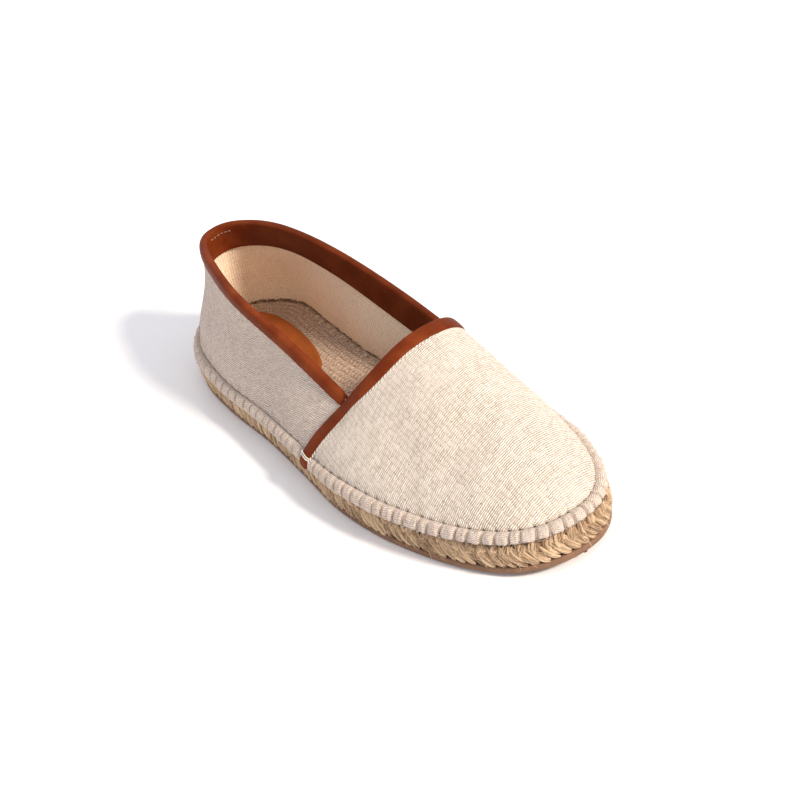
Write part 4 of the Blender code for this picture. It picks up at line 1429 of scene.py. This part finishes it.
def make_hem_stitches(material):
    """A thread in each notch of the hem, from the groove over the roll and down to the jute; its dark
    colour paints the notch's shade.
    """
    angles = stitch_angles()
    paths = rim_rows(angles, np.linspace(*STITCH_ROWS, THREAD_PLACES))
    normals = grid_normals(paths)
    notch, slim = (table_at(PUFFS, name, angles)[:, None] for name in ("notch", "slim"))
    depth = notch * STITCH_DEPTH_SHARE + slim - THREAD_LIFT
    radii = HEM_THREAD * np.sin(np.linspace(0.15, 0.85, THREAD_PLACES) * math.pi) ** 0.3
    paths = paths - normals * depth[..., None]
    add_tubes("hem_stitches", paths, normals, radii, THREAD_SIDES, material, "canvas")


def curly_fibres(root, heading, length, curl_share):
    """Short curled fibres from these roots, in these directions."""
    curl = unit(random.normal(0, 1, (len(root), 3)))
    t = np.linspace(0, 1, FIBRE_PLACES)[None, :, None]
    paths = root[:, None] + heading[:, None] * length[:, None] * t
    paths = paths + curl[:, None] * length[:, None] * curl_share * t**2
    paths[:, :, 2] = np.maximum(paths[:, :, 2], FIBRE_FLOOR)
    return paths, np.broadcast_to(unit(np.cross(heading, curl))[:, None], paths.shape)


def make_fibres(tiers, material):
    """Loose jute fibres that lie over the strands and stand off them."""
    for number, (lines, ups, size) in enumerate(tiers):
        picked = random.integers(0, len(lines), FIBRES)
        place = random.integers(1, lines.shape[1] - 3, FIBRES)
        up = ups[picked, place]
        tangent = unit(lines[picked, place + 1] - lines[picked, place])
        turned = np.cross(tangent, up) * random.normal(0, FIBRE_TURN, (FIBRES, 1))
        lift = up * np.abs(random.normal(0, FIBRE_LIFT, (FIBRES, 1)))
        root = lines[picked, place] + up * size * 0.85
        heading = unit(tangent * np.sign(random.normal(0, 1, (FIBRES, 1))) + turned + lift)
        length = random.uniform(*FIBRE_LENGTHS, (FIBRES, 1))
        paths, fibre_ups = curly_fibres(root, heading, length, FIBRE_CURL)
        radii = np.linspace(*FIBRE_RADII, FIBRE_PLACES)
        add_tubes(f"loose_fibres_{number}", paths, fibre_ups, radii, FIBRE_SIDES, material, "jute")


def make_seam_lint(material):
    """Dark frayed fibres where the lining meets the insole."""
    count = SEAM_FIBRES
    angles = random.random(count) * FULL
    hem = hem_at(angles)
    away = outward(angles)
    inset = (hem["width"] + hem["inset"]) * RIM_WIDTH + CANVAS_WALL + 0.0001
    plan = outline(angles) - away * inset[:, None]
    along = np.column_stack([-away[:, 1], away[:, 0], np.zeros(count)])
    root = np.column_stack([plan, sole_top(plan[:, 1]) + random.uniform(*LINT_HEIGHTS, count)])
    inward = np.column_stack([-away, np.full(count, 0.5)]) * random.uniform(0.2, 1.0, (count, 1))
    heading = unit(inward + along * random.normal(0, 1.6, (count, 1)))
    paths, ups = curly_fibres(root, heading, random.uniform(*LINT_LENGTHS, (count, 1)), LINT_CURL)
    radii = np.linspace(*LINT_RADII, FIBRE_PLACES)
    add_tubes("seam_lint", paths, ups, radii, FIBRE_SIDES, material, "canvas")


def dashes(line, ups, pitch, length, slant):
    """Short stitches along a line, each from its hole up over the surface and down again."""
    run = run_lengths(line)
    count = max(int(run[-1] / pitch), 1)
    stray = random.uniform(-DASH_STRAY, DASH_STRAY, count)
    centre = (np.arange(count) + 0.5 + stray) * run[-1] / count
    lengths = length * random.uniform(*DASH_LENGTHS, (count, 1))
    reach = np.linspace(-0.5, 0.5, DASH_PLACES)[None] * lengths
    at = centre[:, None] + reach
    paths, up = (
        np.stack([np.interp(at, run, points[:, axis]) for axis in range(3)], axis=-1)
        for points in (line, ups)
    )
    up = unit(up)
    side = np.cross(up, unit(np.gradient(paths, axis=1)))
    arch = np.cos(np.linspace(-1.3, 1.3, DASH_PLACES)) - STITCH_SINK
    paths = paths + side * (reach * slant)[..., None] + up * (arch * STITCH_RISE)[None, :, None]
    return paths, up


def make_vamp_stitches(sections, ups, material):
    """White stitches along the front of the vamp's binding, and a thread across each lower end."""
    line = sections[:, 0] + unit(sections[:, 0] - sections[:, 12]) * 0.0005
    run = VAMP_RUN
    paths, up = dashes(line[2:-2], ups[2:-2], run["pitch"], run["length"], run["slant"])
    add_tubes("vamp_stitches", paths, up, run["radius"], THREAD_SIDES, material, "canvas")
    bands = []
    for place in END_SECTIONS:
        over = sections[place, [0, 2, 3, 4, 6]]
        middle = over.mean(axis=0)
        over = middle + (over - middle) * END_LOOSE + ups[place] * END_LIFT
        slide = unit(sections[place + 1, 3] - sections[place, 3])
        for shift in END_TURNS:
            bands.append(points_along(over + slide * shift, np.linspace(0, 1, BAND_PLACES)))
    up = ups[np.repeat(END_SECTIONS, len(END_TURNS)), None].repeat(BAND_PLACES, axis=1)
    add_tubes("binding_thread", np.array(bands), up, END_THREAD, THREAD_SIDES, material, "canvas")


def make_collar_stitches(sections, material):
    """A short run of stitches on the facing at the heel."""
    first, last = (QUARTER_COLUMNS + place for place in HEEL_STITCHES)
    high, low = sections[first : last + 1, 8], sections[first : last + 1, 9]
    line = high + (low - high) * HEEL_STITCH_DROP
    inward = np.array([0.0, SOLE_LENGTH * 0.3, 0.045]) - line
    ups = unit(inward * np.array([1.0, 1.0, 0.0]))
    shares = np.linspace(0, 1, 60)
    line, ups = points_along(line, shares), unit(points_along(ups, shares))
    run = HEEL_RUN
    paths, up = dashes(line, ups, run["pitch"], run["length"], run["slant"])
    paths = paths + up * THREAD_LIFT
    add_tubes("heel_stitches", paths, up, run["radius"], THREAD_SIDES, material, "canvas")


def make_floor():
    """A large pale floor, which isn't part of the shoe."""
    mesh = bpy.data.meshes.new("floor")
    corners = [(-1, -1), (1, -1), (1, 1), (-1, 1)]
    mesh.from_pydata([(x * FLOOR_REACH, y * FLOOR_REACH, 0) for x, y in corners], [], [(0, 1, 2, 3)])
    mesh.materials.append(Wiring("floor", 0.9, Specular_IOR_Level=0.1).finish(FLOOR_COLOUR))
    obj = bpy.data.objects.new("floor", mesh)
    bpy.context.scene.collection.objects.link(obj)


def view_axes():
    """The view's right, up and back directions, rolled as the photograph is."""
    azimuth, elevation, roll = (math.radians(v) for v in (VIEW_AZIMUTH, VIEW_ELEVATION, VIEW_ROLL))
    flat = math.cos(elevation)
    back = np.array([flat * math.sin(azimuth), flat * math.cos(azimuth), math.sin(elevation)])
    right = unit(np.cross([0, 0, 1], back))
    up = np.cross(back, right)
    cos, sin = math.cos(roll), math.sin(roll)
    return right * cos - up * sin, right * sin + up * cos, back


def make_camera():
    right, up, back = view_axes()
    camera = bpy.data.cameras.new("camera")
    camera.sensor_width = SENSOR_WIDTH
    camera.lens = FOCAL_PIXELS / PICTURE_SIDE * SENSOR_WIDTH
    obj = bpy.data.objects.new("camera", camera)
    turned = Matrix(np.stack([right, up, back], axis=1).tolist()).to_4x4()
    place = np.array(VIEW_TARGET) + back * VIEW_DISTANCE
    obj.matrix_world = Matrix.Translation(placed(place)) @ turned
    bpy.context.scene.collection.objects.link(obj)
    bpy.context.scene.camera = obj


def make_lights():
    """Studio light: a warm key low over the inner side of the toe, and an even pale room."""
    light = bpy.data.lights.new("key", "SUN")
    light.angle = math.radians(KEY_ANGLE)
    light.energy = KEY_POWER
    light.color = KEY_COLOUR
    obj = bpy.data.objects.new("key", light)
    obj.rotation_mode = "QUATERNION"
    obj.rotation_quaternion = Vector(KEY_FROM).to_track_quat("Z", "Y")
    bpy.context.scene.collection.objects.link(obj)
    world = bpy.data.worlds.new("room")
    world.use_nodes = True
    shader = world.node_tree.nodes["Background"]
    shader.inputs["Color"].default_value = ROOM_COLOUR
    shader.inputs["Strength"].default_value = ROOM_LIGHT
    bpy.context.scene.world = world
    bpy.context.scene.view_settings.view_transform = "Standard"


make_camera()
materials = make_materials()
make_hem(materials["hem"])
make_vamp(materials["vamp"])
make_quarters(materials["quarter"])
make_lining(materials["lining"])
collar_sections = make_collar(materials["leather"])
vamp_sections, vamp_ups = make_vamp_edge(materials["leather"])
make_vamp_stitches(vamp_sections, vamp_ups, materials["thread"])
make_collar_stitches(collar_sections, materials["dark_thread_and_notch_shade"])
strand_tiers = make_jute(materials["jute"], materials["core"])
make_fibres(strand_tiers, materials["fibre"])
make_seam_lint(materials["lint"])
make_insole(materials["insole"])
make_outsole(materials["rubber"])
make_heel_pad(materials["pad"])
make_hem_stitches(materials["dark_thread_and_notch_shade"])
make_floor()
make_lights()
